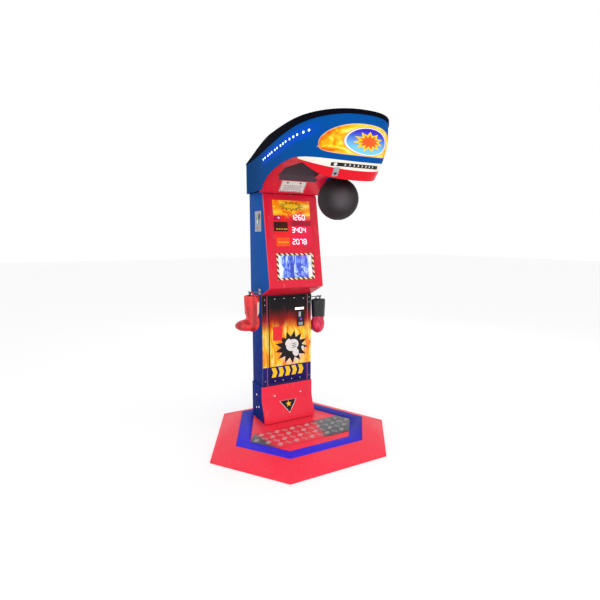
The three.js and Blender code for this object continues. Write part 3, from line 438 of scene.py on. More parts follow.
def piece(name, verts, faces, look, body="machine", slot=None, **finish):
    """A mesh piece that rides a body, with rounded edges or thickness where asked."""
    mesh = bpy.data.meshes.new(name)
    mesh.from_pydata([tuple(v) for v in verts], [], faces)
    mesh.update()
    return finish_piece(mesh, name, look, body, slot, **finish)


def finish_piece(mesh, name, look, body="machine", slot=None, smooth=SHARP, bevel=0, solid=0):
    """Smooth above an angle in degrees, with a bevel's width and a sheet's thickness in metres."""
    obj = bpy.data.objects.new(name, mesh)
    bpy.context.scene.collection.objects.link(obj)
    mesh.materials.clear()
    mesh.materials.append(look.material)
    if solid:
        sheet = obj.modifiers.new("thickness", "SOLIDIFY")
        sheet.thickness, sheet.offset, sheet.use_even_offset = solid, -1, True
    if bevel:
        edges = obj.modifiers.new("edges", "BEVEL")
        edges.width, edges.segments = bevel, 2
        edges.limit_method, edges.angle_limit = "ANGLE", math.radians(SHARP)
        edges.use_clamp_overlap = True
    for polygon in mesh.polygons:
        polygon.use_smooth = True
    apply_modifiers(obj)
    obj.data.set_sharp_from_angle(angle=math.radians(smooth))
    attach(obj, body)
    return obj


def apply_modifiers(obj):
    if not obj.modifiers:
        return
    bpy.context.view_layer.update()
    evaluated = obj.evaluated_get(bpy.context.evaluated_depsgraph_get())
    mesh = bpy.data.meshes.new_from_object(evaluated)
    obj.modifiers.clear()
    obj.data = mesh


def dress(node, look, bevel):
    """The CAD node's own shape with its flat faces merged and its edges rounded, by mm."""
    work = bmesh.new()
    work.from_mesh(nodes[node].data)
    bmesh.ops.remove_doubles(work, verts=work.verts, dist=1e-5)
    flat = math.radians(1)
    bmesh.ops.dissolve_limit(work, angle_limit=flat, verts=work.verts, edges=work.edges)
    mesh = bpy.data.meshes.new(node + "_finished")
    work.to_mesh(mesh)
    work.free()
    obj = finish_piece(mesh, node + "_finished", look, body_of[node], slot_of[node], bevel=bevel * MM)
    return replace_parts(obj, node)


def repaint(node, look):
    nodes[node].data.materials.clear()
    nodes[node].data.materials.append(look.material)


def surface(node):
    """A tree for landing points on a CAD node's skin."""
    mesh = nodes[node].data
    return BVHTree.FromPolygons([v.co for v in mesh.vertices], [p.vertices for p in mesh.polygons])


def plane(origin, across, up):
    """A flat drawing frame: its origin, and unit vectors across, up and out."""
    across, up = Vector(across).normalized(), Vector(up).normalized()
    return Vector(origin), across, up, across.cross(up)


def frame_on(node, start, direction):
    """A drawing frame where a ray lands on a node, with up as near to +Z as the skin allows."""
    hit, normal, _, _ = surface(node).ray_cast(Vector(start), Vector(direction))
    if normal.dot(Vector(direction)) > 0:
        normal = -normal
    across = Vector((0, 0, 1)).cross(normal).normalized()
    return plane(hit, across, normal.cross(across))


def slabs(name, where, outlines, depth, look, body="machine", lift=0.3, bevel=0, slot=None):
    """Flat plates drawn as outlines in a frame and raised by depth, as one piece. All in mm."""
    origin, across, up, out = where
    depth, lift, bevel = depth * MM, lift * MM, bevel * MM
    verts, faces = [], []
    for outline in outlines:
        first, count = len(verts), len(outline)
        for height in (lift, lift + depth):
            verts += [origin + across * (a * MM) + up * (b * MM) + out * height for a, b in outline]
        faces.append([first + i for i in reversed(range(count))])
        faces.append([first + count + i for i in range(count)])
        for i in range(count):
            j = (i + 1) % count
            faces.append([first + i, first + j, first + count + j, first + count + i])
    return piece(name, verts, faces, look, body, slot, bevel=bevel)


def box2(left, right, low, high):
    return [(left, low), (right, low), (right, high), (left, high)]


def rounded(left, right, low, high, radius, steps=5):
    """A rectangle with round corners."""
    points = []
    corners = [(right, high, 0), (left, high, 90), (left, low, 180), (right, low, 270)]
    for x, y, start in corners:
        cx = x - math.copysign(radius, x - (left + right) / 2)
        cy = y - math.copysign(radius, y - (low + high) / 2)
        for i in range(steps + 1):
            turn = math.radians(start + 90 * i / steps)
            points.append((cx + radius * math.cos(turn), cy + radius * math.sin(turn)))
    return points


def star(points, outer, inner, centre=(0, 0), squash=1.0, turn=90):
    """A star's outline, squashed in height, with its first point turned by some degrees."""
    out = []
    for i in range(2 * points):
        radius = outer if i % 2 == 0 else inner
        angle = math.radians(turn + 180 * i / points)
        x = centre[0] + radius * math.cos(angle)
        out.append((x, centre[1] + squash * radius * math.sin(angle)))
    return out


def screws(name, places, radius, look, body="machine", slot=None):
    """Domed screw heads with a driver recess, as one piece. Each place is a drawing frame."""
    radius *= MM
    verts, faces = [], []
    sides = 16
    rings = [(1.0, 0.0), (1.0, 0.18), (0.86, 0.40), (0.55, 0.55), (0.34, 0.58), (0.30, 0.30)]
    for origin, across, up, out in places:
        first = len(verts)
        for share, height in rings:
            for i in range(sides):
                turn = 2 * math.pi * i / sides
                side = across * math.cos(turn) + up * math.sin(turn)
                verts.append(origin + side * radius * share + out * radius * height)
        for ring in range(len(rings) - 1):
            for i in range(sides):
                j = (i + 1) % sides
                low, high = first + ring * sides, first + (ring + 1) * sides
                faces.append([low + i, low + j, high + j, high + i])
        last = first + (len(rings) - 1) * sides
        faces.append([last + i for i in range(sides)])
        faces.append([first + i for i in reversed(range(sides))])
    return piece(name, verts, faces, look, body, slot, smooth=40)


# ---- base

for node in ("ramp_skirt", "floor_plate"):
    dress(node, BASE_RED, 2.5)
dress("ring_trim", RING, 1.5)
dress("foot_skirt", BASE_RED, 2)
for node in ("foot_side_left", "foot_side_right"):
    dress(node, BLUE, 1.5)

BAR_COUNT = 5
GROUP_PITCH = 0.064
BAR_PITCH = 0.0094
BAR_LONG = 0.024
BAR_WIDE = 0.0031
BAR_RISE = 0.0022
GROUP_MARGIN = 0.032


def tread_bars():
    """Groups of five lens-shaped bars on the chequer plate, turned alternately left and right."""
    low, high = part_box("tread_plate")
    verts, faces = [], []
    top = high.z - 0.0002
    slab = surface("tread_plate")
    shape = [(-1, 0, 0), (0, -1, 0), (1, 0, 0), (0, 1, 0), (-0.6, 0, 1), (0.6, 0, 1)]
    sides = ((0, 1, 4), (1, 5, 4), (1, 2, 5), (2, 3, 5), (3, 4, 5), (3, 0, 4), (3, 2, 1, 0))
    for row in range(int((high.y - low.y) / GROUP_PITCH)):
        for column in range(int((high.x - low.x) / GROUP_PITCH)):
            x = low.x + (column + 0.66) * GROUP_PITCH
            y = low.y + (row + 0.75) * GROUP_PITCH
            edge = Vector((x + math.copysign(GROUP_MARGIN, x), y, 1))
            if slab.ray_cast(edge, Vector((0, 0, -1)))[0] is None:
                continue
            turn = math.radians(45 if (row + column) % 2 else -45)
            for bar in range(BAR_COUNT):
                shift = (bar - (BAR_COUNT - 1) / 2) * BAR_PITCH
                first = len(verts)
                for a, b, c in shape:
                    a, b = a * BAR_LONG, b * BAR_WIDE + shift
                    verts.append((
                        x + a * math.cos(turn) - b * math.sin(turn),
                        y + a * math.sin(turn) + b * math.cos(turn),
                        top + c * BAR_RISE,
                    ))
                faces += [[first + i for i in face] for face in sides]
    return piece("tread_bars", verts, faces, TREAD, slot="tread_steel", smooth=60)


dress("tread_plate", TREAD, 0.8)
tread_bars()

INTO = Vector((0, 1, 0))
OUTSIDE = 600  # mm, clear of the column's front and sides


def on_front(node, x, z):
    return frame_on(node, at(x, -OUTSIDE, z), INTO)


FOOT_BOLT_X, FOOT_BOLT_Z = 115, 270
FOOT_SIDE_BOLTS = ((259, 268), (265, 161), (218, 177))

foot_bolts = [on_front("foot_skirt", x, FOOT_BOLT_Z) for x in (-FOOT_BOLT_X, FOOT_BOLT_X)]
foot_bolts += [
    frame_on("foot_side_" + word, at(side * OUTSIDE, y, z), (-side, 0, 0))
    for side, word in ((-1, "left"), (1, "right"))
    for y, z in FOOT_SIDE_BOLTS
]
screws("foot_bolts", foot_bolts, 9, CHROME, slot="chrome")

badge = on_front("foot_skirt", 0, 190)
slabs("badge_rim", badge, [[(-78, 38), (0, -68), (78, 38)]], 1.2, PALE)
slabs("badge_field", badge, [[(-70, 34), (0, -60), (70, 34)]], 0.8, SPOT, lift=1.6)
slabs("badge_star", badge, [star(5, 26, 11, (0, 4))], 0.8, GOLD, lift=2.5)

# ---- lower column

for node in ("column_side_left", "column_side_right"):
    dress(node, BLUE, 1.5)
dress("rear_panel", BLUE, 1.5)
dress("rear_door", BLUE, 1.2)
dress("front_frame", FRONT, 1.0)
dress("coin_door", FRONT, 1.0)
dress("coin_plate", PANEL_BLACK, 0.8)
dress("reject_button", BUTTON, 1.2)
dress("door_lock", CHROME, 0.6)
dress("return_flap", ZINC, 0.3)

PRINT_SKIN = 152
COIN_SKIN = 147.7


def facing(x, y, z):
    """An upright drawing frame turned to the player."""
    return plane(at(x, y, z), (1, 0, 0), (0, 0, 1))


door_plane = facing(0, PRINT_SKIN, 0)
THIN = 0.7


stripes = [box2(x - 1.6, x + 1.6, 362, 1066) for x in (-174, 178)]
slabs("frame_pinstripes", door_plane, stripes, THIN, PINK)


def oval(cx, cz, rx, rz, turn=0.0, steps=28):
    """An ellipse as an outline, turned by some degrees."""
    out, lean = [], math.radians(turn)
    for i in range(steps):
        angle = 2 * math.pi * i / steps
        a, b = rx * math.cos(angle), rz * math.sin(angle)
        x, z = a * math.cos(lean) - b * math.sin(lean), a * math.sin(lean) + b * math.cos(lean)
        out.append((cx + x, cz + z))
    return out


MARK = (36, 650)
slabs("impact_burst", door_plane, [star(13, 146, 92, MARK, 0.92, 80)], THIN, SPOT, "door")
fist = [oval(MARK[0] + 6, MARK[1] + 16, 56, 46, 20), oval(MARK[0] - 34, MARK[1] + 44, 30, 17, 50),
        oval(MARK[0] + 36, MARK[1] - 44, 27, 34, 24)]
for i, part in enumerate(fist):
    slabs(f"impact_fist_{i + 1}", door_plane, [part], THIN, PALE, "door", lift=1.2 + 0.2 * i)
folds = [oval(MARK[0] + 22, MARK[1] + 28 - 15 * i, 22, 2.6, 8, 12) for i in range(3)]
slabs("impact_fist_folds", door_plane, folds, THIN, SPOT, "door", lift=2.4)
bars = [[(x, 424), (x + 36, 424), (x + 50, 462), (x + 36, 500), (x, 500), (x + 14, 462)]
        for x in (-140, -82, -24, 34, 92)]
slabs("yellow_chevrons", door_plane, bars, THIN, GOLD, "door")
slabs("price_plate", door_plane, [rounded(-125, -47, 716, 827, 3)], 1.5, SIGNAL_RED, "door", bevel=0.4)
slabs("coin_light_bar", door_plane, [rounded(68, 144, 947, 963, 4)], 3, COIN_LAMP, "door", bevel=0.8)
coin_skin = facing(0, COIN_SKIN, 0)
slot_sides = [rounded(left, right, 890, 930, 2) for left, right in ((98, 104.5), (109, 115))]
slabs("slot_surround", coin_skin, slot_sides, 2, CHROME, "door", bevel=0.5, slot="chrome")

door_screws = [facing(x, PRINT_SKIN, z) for x, z in (
    (-108, 1043), (-29, 1043), (60, 1043), (143, 1034),
    (-109, 392), (-40, 392), (35, 392), (110, 392),
)]
screws("door_screws", door_screws, 5, CHROME, "door", "chrome")
frame_screws = [facing(x, PRINT_SKIN, z) for x in (-192, 194) for z in (1040, 1000, 700, 400)]
screws("frame_screws", frame_screws, 4, CHROME, slot="chrome")

BEHIND = 900  # mm, clear of the back
REAR_X, REAR_SCREW_ZS = 196, (100, 420, 740, 1180, 1480, 1780)
OUT = Vector((0, -1, 0))
rear_screws = [
    frame_on("rear_panel", at(x, BEHIND, z), OUT) for x in (-REAR_X, REAR_X) for z in REAR_SCREW_ZS
]
screws("rear_screws", rear_screws, 5, CHROME, slot="chrome")
rating = frame_on("rear_panel", at(0, BEHIND, 1180), OUT)
slabs("rating_plate", rating, [rounded(-48, 48, -28, 28, 4)], 0.9, ZINC, bevel=0.3, slot="zinc_steel")
plate_rules = [box2(-38, 38 - 12 * (i % 2), 14 - 10 * i, 16 - 10 * i) for i in range(4)]
slabs("rating_rules", rating, plate_rules, 0.4, SPOT, lift=1.3)

# ---- upper box

for node in ("upper_side_left", "upper_side_right"):
    dress(node, BLUE, 1.5)
dress("front_cover", RED, 2.5)
dress("score_lens", SCORE, 0.6)
dress("picture_bezel", HAZARD, 0.6)
dress("picture_lens", PICTURE, 0.6)
dress("side_plate", ZINC, 0.8)
dress("side_lock", CHROME, 0.6)

face_up = Vector((0, math.sin(FACE_TILT), math.cos(FACE_TILT)))
lens_skin = plane(FACE_LOW, (1, 0, 0), face_up)
LENS_PROUD = 2.3
lens_skin = (lens_skin[0] + lens_skin[3] * LENS_PROUD * MM, *lens_skin[1:])

DIGIT_WIDE, DIGIT_HIGH, DIGIT_PITCH, STROKE = 21, 36, 31, 5
LIT = {
    "0": "abcdef", "1": "bc", "2": "abged", "3": "abgcd",
    "4": "fgbc", "6": "afgedc", "7": "abc", "8": "abcdefg",
}
ROWS = (("1260", 519), ("3404", 425), ("2078", 338))  # each number and its height up the face


def segment(letter, x, z):
    """One bar of a seven-segment digit, pointed at both ends, around the digit's centre."""
    half, tall, s = DIGIT_WIDE / 2, DIGIT_HIGH / 2, STROKE / 2
    level = {"a": tall, "g": 0, "d": -tall}
    if letter in level:
        cz = z + level[letter]
        left, right = x - half + 1, x + half - 1
        return [(left, cz), (left + s, cz - s), (right - s, cz - s), (right, cz),
                (right - s, cz + s), (left + s, cz + s)]
    cx = x + (half if letter in "bc" else -half)
    low, high = (z, z + tall) if letter in "bf" else (z - tall, z)
    low, high = low + 1, high - 1
    return [(cx, low), (cx + s, low + s), (cx + s, high - s), (cx, high),
            (cx - s, high - s), (cx - s, low + s)]


for row, (number, up) in enumerate(ROWS):
    bars = [
        segment(letter, place * DIGIT_PITCH, up)
        for place, digit in enumerate(number)
        for letter in LIT[digit]
    ]
    slabs(f"score_digits_{row + 1}", lens_skin, bars, 0.9, DIGIT)

PANEL_DARK = moulded("dark_label", rgb(66, 18, 16), rgb(40, 10, 10), 0.3)
PANEL_MAGENTA = moulded("magenta_label", rgb(190, 20, 90), rgb(160, 14, 70), 0.3)
PANEL_ORANGE = moulded("orange_label", rgb(246, 92, 26), rgb(236, 70, 20), 0.3)
labels = (
    ("label_best", (-152, -96, 496, 530), PANEL_MAGENTA),
    ("label_today", (-155, -42, 415, 484), PANEL_DARK),
    ("label_now", (-142, -36, 305, 368), PANEL_ORANGE),
)
for name, extent, look in labels:
    slabs(name, lens_skin, [rounded(*extent, 3)], 0.5, look, lift=0.1)
slabs("label_star", lens_skin, [star(5, 13, 5.5, (-112, 514))], 0.5, PALE, lift=0.8)
ticks = [box2(x, x + 14, 428, 434) for x in (-138, -118, -98, -78, -62)]
ticks += [box2(x, x + 16, 332, 338) for x in (-128, -106, -84, -62)]
slabs("label_ticks", lens_skin, ticks, 0.5, GOLD, lift=0.8)
FLASH = (-2, 600)
slabs("top_flash", lens_skin, [star(14, 118, 66, FLASH, 0.30)], 0.6, PANEL_DARK, lift=0.2)
slabs("top_flash_core", lens_skin, [star(14, 98, 52, FLASH, 0.28)], 0.6, GOLD, lift=1)

SIDE_PLATE_X = -223.3


def on_side_plate(y, z):
    return plane(at(SIDE_PLATE_X, y, z), (0, -1, 0), (0, 0, 1))


side_skin = on_side_plate(0, 0)
slabs("side_plate_slot", side_skin, [rounded(-176, -152, 1640, 1680, 6)], 1, PANEL_BLACK,
      slot="black_gloss")
slabs("side_plate_lamp", side_skin, [rounded(-204, -190, 1572, 1586, 6)], 2, SIGNAL_RED)
side_bolts = [on_side_plate(y, z) for y in (139, 235) for z in (1560, 1692)]
screws("side_plate_screws", side_bolts, 4, CHROME, slot="chrome")

# ---- hood

REAR_Y, NOSE_Y = 360, -832
REAR_HALF, WIDE_HALF, WIDE_Y = 240, 298, -470
NOSE_POWER = 2.3
TAPER_FROM, TAPER_DEPTH, TAPER_INSET = 2080, 270, 95
SKIN = 6
SKIN_SPARE = 0.5  # the drawn wall is this much thinner than the CAD's
COVER_LAP = 4
GAP = 0.3


def smooth(t):
    t = min(1.0, max(0.0, t))
    return t * t * (3 - 2 * t)


def hood_half(flank_steps=44, nose_steps=64):
    """Half of the plan outline, from the rear corner round to the tip of the nose."""
    points = []
    for i in range(flank_steps + 1):
        t = i / flank_steps
        points.append((REAR_HALF + (WIDE_HALF - REAR_HALF) * smooth(t), REAR_Y + (WIDE_Y - REAR_Y) * t))
    for i in range(1, nose_steps + 1):
        turn = math.pi / 2 * i / nose_steps
        points.append((
            WIDE_HALF * max(0.0, math.cos(turn)) ** (2 / NOSE_POWER),
            WIDE_Y + (NOSE_Y - WIDE_Y) * math.sin(turn) ** (2 / NOSE_POWER),
        ))
    return points


def hood_ring():
    """The whole plan outline with its outward normals, from the left rear corner round the nose."""
    half = hood_half()
    ring = [(-x, y) for x, y in half] + half[-2::-1]
    out = []
    for i, (x, y) in enumerate(ring):
        px, py = ring[max(i - 1, 0)]
        qx, qy = ring[min(i + 1, len(ring) - 1)]
        length = math.hypot(qx - px, qy - py)
        out.append((x, y, (qy - py) / length, -(qx - px) / length))
    return out


RING_POINTS = hood_ring()


def hood_point(point, z, grow=0.0):
    x, y, nx, ny = point
    taper = TAPER_INSET * (max(0.0, TAPER_FROM - z) / TAPER_DEPTH) ** SWELL
    inset = grow - taper * smooth(-y / 500)
    return x + nx * inset, max(min(y + ny * inset, REAR_Y + grow), NOSE_Y - grow)


# the hood's side-view lines: heights in mm for each y in mm from the column's own axis
SHELL_LOW_Z, ARCH_Y, ARCH_Z, ARCH_LONG, ARCH_FOOT_Z = 1838, -480, 1974, 520, 1812
NOSE_DROP = 61
EDGE_Z, EDGE_Y, EDGE_SLOPE = 2062, 267, 0.096
CROWN_RISE, CROWN_LONG, CROWN_Y, CROWN_SLOPE = 110, 540, -180, 0.031
BAND_Y, BAND_Z, BAND_SLOPE = -500, 1972, 0.345
RIM_DROP, RIM_LONG = 60, 190
SWELL = 1.6  # the power that rounds the nose, its taper and the lid


def shell_bottom(y):
    if y < ARCH_Y:
        return ARCH_Z - NOSE_DROP * ((ARCH_Y - y) / (ARCH_Y - NOSE_Y)) ** SWELL
    across = min(1.0, (y - ARCH_Y) / ARCH_LONG)
    return max(SHELL_LOW_Z, ARCH_FOOT_Z + (ARCH_Z - ARCH_FOOT_Z) * math.sqrt(1 - across * across))


def shell_top(y):
    return EDGE_Z + (EDGE_Y - y) * EDGE_SLOPE


def cover_top(y):
    rise = min(1.0, (REAR_Y - y) / CROWN_LONG)
    return EDGE_Z + CROWN_RISE * (1 - (1 - rise) ** SWELL) + CROWN_SLOPE * max(0, CROWN_Y - y)


def white_bottom(y):
    return BAND_Z - BAND_SLOPE * (BAND_Y - y)


def rim_bottom(y):
    return white_bottom(y) - RIM_DROP * smooth((BAND_Y - y) / RIM_LONG)


def hood_height(point, level, grow=0.0):
    """The height at which a side-view line crosses the skin over this plan point."""
    z = level(point[1])
    for _ in range(6):
        z = level(hood_point(point, z, grow)[1])
    return z


def between_columns(count, height, closed=True):
    """Quads between neighbouring columns of points, and from the last to the first where closed."""
    faces = []
    for i in range(count if closed else count - 1):
        a, b = i * height, (i + 1) % count * height
        faces += [[a + k, b + k, b + k + 1, a + k + 1] for k in range(height - 1)]
    return faces


def hood_band(name, look, points, low, high, closed, levels=18, slot=None, grow=0.0):
    """A wall of the hood between two side-view lines."""
    verts = []
    for point in points:
        bottom, top = hood_height(point, low, grow), hood_height(point, high, grow)
        for k in range(levels + 1):
            z = bottom + (top - bottom) * k / levels
            x, y = hood_point(point, z, grow)
            verts.append(at(x, y, z))
    faces = between_columns(len(points), levels + 1, closed)
    return piece(name, verts, faces, look, slot=slot, solid=(SKIN - SKIN_SPARE) * MM, smooth=40)


STRIP_FROM_Y, STRIP_TO_Y = -14, -682
STRIP_FROM_Z, STRIP_RISE = 2029, 67


def strip_height(y):
    share = (y - STRIP_FROM_Y) / (STRIP_TO_Y - STRIP_FROM_Y)
    return STRIP_FROM_Z + STRIP_RISE * share


EMBLEM = (18, 2028)
OVAL_AT, OVAL_HALF = (0.018, 2.030), (0.146, 0.070)
PANEL_TIP, PANEL_FADE = -0.592, (-0.602, -0.577)
CROWN = (0.300, 2.006, 2.157)  # how fast the panel's top edge rises, from where, and to where
PANEL_LOW = (0.145, 2.004)  # how fast its lower edge falls, and from where


def hood_look():
    """Gloss blue moulding with painted shade towards the rear: a flame panel round the nose, and a blue glow
    along the light strips.
    """
    look = Look("hood_print")
    drift = look.drift()
    # painted shade: the blue darkens towards the rear of the hood
    rear = look.step(look.y, -0.35, 0.40)
    blue = look.mix(drift * 0.4, rgb(4, 80, 156), rgb(4, 62, 132))
    blue = look.mix(rear * 0.8, blue, rgb(8, 54, 100))

    start = (STRIP_FROM_Y + PLAN_SHIFT) * MM
    share = (start - look.y) / ((STRIP_FROM_Y - STRIP_TO_Y) * MM)
    above = look.z - (share * (STRIP_RISE * MM) + STRIP_FROM_Z * MM)
    along = look.step(share, -0.10, 0.08) * look.fall(share, 0.92, 1.10)
    glow = look.fall(look.math("ABSOLUTE", above), 0.004, 0.052) * along
    blue = look.mix(glow * 0.55, blue, rgb(6, 66, 210))

    nose = look.fall(look.y, *PANEL_FADE)
    forward = (look.y - PANEL_TIP) * -1.0
    opening = look.math("SQRT", look.math("MAXIMUM", forward, 0.0))
    tip = look.math("MINIMUM", opening * CROWN[0] + CROWN[1], CROWN[2])
    floor = PANEL_LOW[1] - opening * PANEL_LOW[0]
    inside = look.between(look.z, floor, tip, 0.0012) * nose
    edge = look.between(look.z, floor - 0.003, tip + 0.003, 0.0012) * nose
    across = (look.x - OVAL_AT[0]) / OVAL_HALF[0]
    rise = (look.z - OVAL_AT[1]) / OVAL_HALF[1]
    oval = look.radius(across, rise)
    tongues = look.noise(8.0, 5.0, (1.0, 1.0, 2.2), 1.8)
    near = look.fall(oval, 1.0, 2.3)
    fire = look.ramp(tongues * 1.0 + near * 0.62 - 0.36, *FLAME)
    skin = look.mix(edge, blue, rgb(238, 196, 170))
    skin = look.mix(inside, skin, fire)

    front = look.fall(look.y, -0.60, -0.58)
    skin = look.mix(look.fall(oval, 1.05, 1.08) * front, skin, rgb(250, 150, 60))
    skin = look.mix(look.fall(oval, 1.00, 1.03) * front, skin, rgb(245, 240, 250))
    sky = look.mix(look.step(rise, -0.8, 0.8), rgb(120, 200, 245), rgb(60, 44, 190))
    skin = look.mix(look.fall(oval, 0.94, 0.97) * front, skin, sky)
    look.set(Base_Color=skin, Roughness=0.24 + drift * 0.08, Coat_Weight=0.05, Coat_Roughness=0.08)
    look.set(Specular_IOR_Level=0.0)
    look.glow(rgb(4, 56, 214), glow * 0.2)
    return look.peel(0.00004)


def rim_look():
    """The hood's lower rim: a white band over red."""
    look = Look("rim_print")
    line = (look.y - (BAND_Y + PLAN_SHIFT) * MM) * BAND_SLOPE + BAND_Z * MM
    white = look.step(look.z - line, -0.0008, 0.0008)
    red = look.mix(look.drift() * 0.5, rgb(228, 22, 40), rgb(190, 12, 30))
    pale = look.mix(look.noise(6.0, 3.0), rgb(244, 236, 226), rgb(228, 218, 208))
    look.set(Base_Color=look.mix(white, red, pale), Roughness=0.26, Coat_Weight=0.08)
    look.set(Specular_IOR_Level=0.05)
    return look.peel(0.00004)


HOOD, RIM = hood_look(), rim_look()

rear_wall = [(REAR_HALF * (1 - 2 * t / 8), REAR_Y, 0, 1) for t in range(1, 8)]
shell = hood_band("hood_shell_finished", HOOD, RING_POINTS + rear_wall, shell_bottom, shell_top, True,
                  slot="blue_shell")
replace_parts(shell, "hood_shell")

rim_points = [p for p in RING_POINTS if p[1] < -520]
rim = hood_band("lower_rim_finished", RIM, rim_points, rim_bottom, lambda y: shell_bottom(y) - GAP,
                False, levels=12, slot="red_shell")
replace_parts(rim, "lower_rim")

COVER_ROUND = 9


LID_PROUD = 1.5


def top_cover():
    """The glossy lid: a skirt that laps over the shell, a rounded edge and a flat top."""
    points = RING_POINTS + rear_wall
    verts = []
    steps, spans = 5, 8
    for point in points:
        column = []
        bottom = hood_height(point, shell_top, COVER_LAP) + GAP
        edge = hood_height(point, cover_top, COVER_LAP) + LID_PROUD
        bend = min(COVER_ROUND, max(0.5, (edge - bottom) * 0.8))
        for k in range(4):
            z = bottom + (edge - bend - bottom) * k / 3
            column.append((*hood_point(point, z, COVER_LAP), z))
        for k in range(1, steps + 1):
            turn = math.pi / 2 * k / steps
            z = edge - bend + bend * math.sin(turn)
            column.append((*hood_point(point, z, COVER_LAP - bend * (1 - math.cos(turn))), z))
        x0, y0, z0 = column[-1]
        for k in range(1, spans + 1):
            share = k / spans
            column.append((x0 * (1 - share), y0, z0))
        verts += [at(*c) for c in column]
    faces = between_columns(len(points), 4 + steps + spans)
    return piece("top_cover_finished", verts, faces, TOP_BLACK, slot="black_gloss", smooth=50)


def weld(obj, distance=1e-5):
    work = bmesh.new()
    work.from_mesh(obj.data)
    bmesh.ops.remove_doubles(work, verts=work.verts, dist=distance)
    bmesh.ops.recalc_face_normals(work, faces=work.faces)
    work.to_mesh(obj.data)
    work.free()
    return obj


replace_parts(weld(top_cover(), 1e-4), "top_cover")
dress("hood_liner", RED, 1.0)
# the recess tub's dark grey is painted shade of the hollow
dress("recess_tub", RECESS_SHADE, 1.0)

LED_COUNT = 15
LED_RADIUS = 7
LED_LIFT = 4.3


def skin_frame(side, y, z, lift=0.0):
    """A drawing frame on the hood's flank, at a plan y and a height."""
    half = [p for p in RING_POINTS if p[0] * side > 0]
    x, py, nx, ny = min(half, key=lambda p: abs(hood_point(p, z)[1] - y))
    sx, sy = hood_point((x, py, nx, ny), z, lift)
    out = Vector((nx, ny, 0)).normalized()
    across = Vector((0, 0, 1)).cross(out)
    return plane(at(sx, sy, z), across, (0, 0, 1))


for side, word in ((-1, "left"), (1, "right")):
    dress("light_strip_" + word, BLUE, 0.8)
    spots = []
    for i in range(LED_COUNT):
        y = STRIP_FROM_Y + (STRIP_TO_Y - STRIP_FROM_Y) * (i + 0.5) / LED_COUNT
        spots.append(skin_frame(side, y, strip_height(y), LED_LIFT))
    screws("led_lenses_" + word, spots, LED_RADIUS, LED, slot="light_strip")


NOSE_POINTS = [p for p in RING_POINTS if p[1] < WIDE_Y]


def nose_y(x, z, lift):
    """How far forward the nose's skin stands, in plan, at an x and a height."""
    xs, ys = zip(*sorted(hood_point(p, z, lift) for p in NOSE_POINTS))
    return float(np.interp(x, xs, ys))


def nose_frame(x, z, lift=0.0):
    """A drawing frame on the nose's skin."""
    left, right = (at(x + d, nose_y(x + d, z, lift), z) for d in (-4, 4))
    up = at(x, nose_y(x, z + 8, lift), z + 8) - at(x, nose_y(x, z - 8, lift), z - 8)
    return plane((left + right) / 2, right - left, up)


def wrap(name, outline, look, slot=None, z_of=None, lift=0.8, depth=0.8, pitch=(6, 14)):
    """A thin print bent round the nose: outline points are mm across the nose and mm high."""
    work = bmesh.new()
    work.faces.new([work.verts.new((a, b, 0)) for a, b in outline])
    for axis, step in enumerate(pitch):
        low, high = (pick(point[axis] for point in outline) for pick in (min, max))
        for cut in range(math.ceil(low / step), math.floor(high / step) + 1):
            place, normal = Vector((0, 0, 0)), Vector((0, 0, 0))
            place[axis], normal[axis] = cut * step, 1
            everything = [*work.verts, *work.edges, *work.faces]
            bmesh.ops.bisect_plane(work, geom=everything, plane_co=place, plane_no=normal)
    bmesh.ops.remove_doubles(work, verts=work.verts, dist=0.05)
    for vert in work.verts:
        x, z = vert.co.x, vert.co.y
        z += z_of(x) if z_of else 0
        vert.co = at(x, nose_y(x, z, lift), z)
    bmesh.ops.recalc_face_normals(work, faces=work.faces)
    if sum(face.normal.y for face in work.faces) > 0:
        bmesh.ops.reverse_faces(work, faces=work.faces)
    mesh = bpy.data.meshes.new(name)
    work.to_mesh(mesh)
    work.free()
    return finish_piece(mesh, name, look, slot=slot, solid=-depth * MM, smooth=60)


wrap("emblem_burst", star(11, 106, 66, EMBLEM, 0.50), GOLD)
wrap("emblem_core", star(11, 74, 42, EMBLEM, 0.50), PANEL_ORANGE, lift=2)


SIGN_SAG, SIGN_HALF = 12, 200


def sign_z(x):
    """The sign strip follows the lower rim, which dips towards the middle of the nose."""
    return SIGN_SAG * (min(abs(x), SIGN_HALF) / SIGN_HALF) ** 2


def strip(left, right, low, high, step=12):
    count = max(1, int((right - left) / step))
    xs = [left + (right - left) * i / count for i in range(count + 1)]
    return [(x, low) for x in xs] + [(x, high) for x in reversed(xs)]


wrap("sign_strip", strip(-170, 130, 1893, 1911), SPOT, z_of=sign_z)
for i in range(8):
    x = -108 + 26 * i
    chevron = [(x, 1897), (x + 6, 1897), (x + 12, 1902), (x + 6, 1907), (x, 1907), (x + 6, 1902)]
    wrap(f"sign_chevron_{i + 1}", chevron, PALE, z_of=sign_z, lift=1.8)
wrap("sign_dot", oval(-150, 1902, 8, 8, steps=12), PALE, z_of=sign_z, lift=1.8)

TAB = (-139, 1870)
tab = nose_frame(*TAB, 1)
slabs("pull_tab", tab, [rounded(-17, 17, -26, 26, 6)], 2, ZINC, bevel=0.5, slot="zinc_steel")
slabs("pull_tab_arrow", tab, [[(-12, -4), (0, -20), (12, -4)]], 0.8, SPOT, lift=2.4)

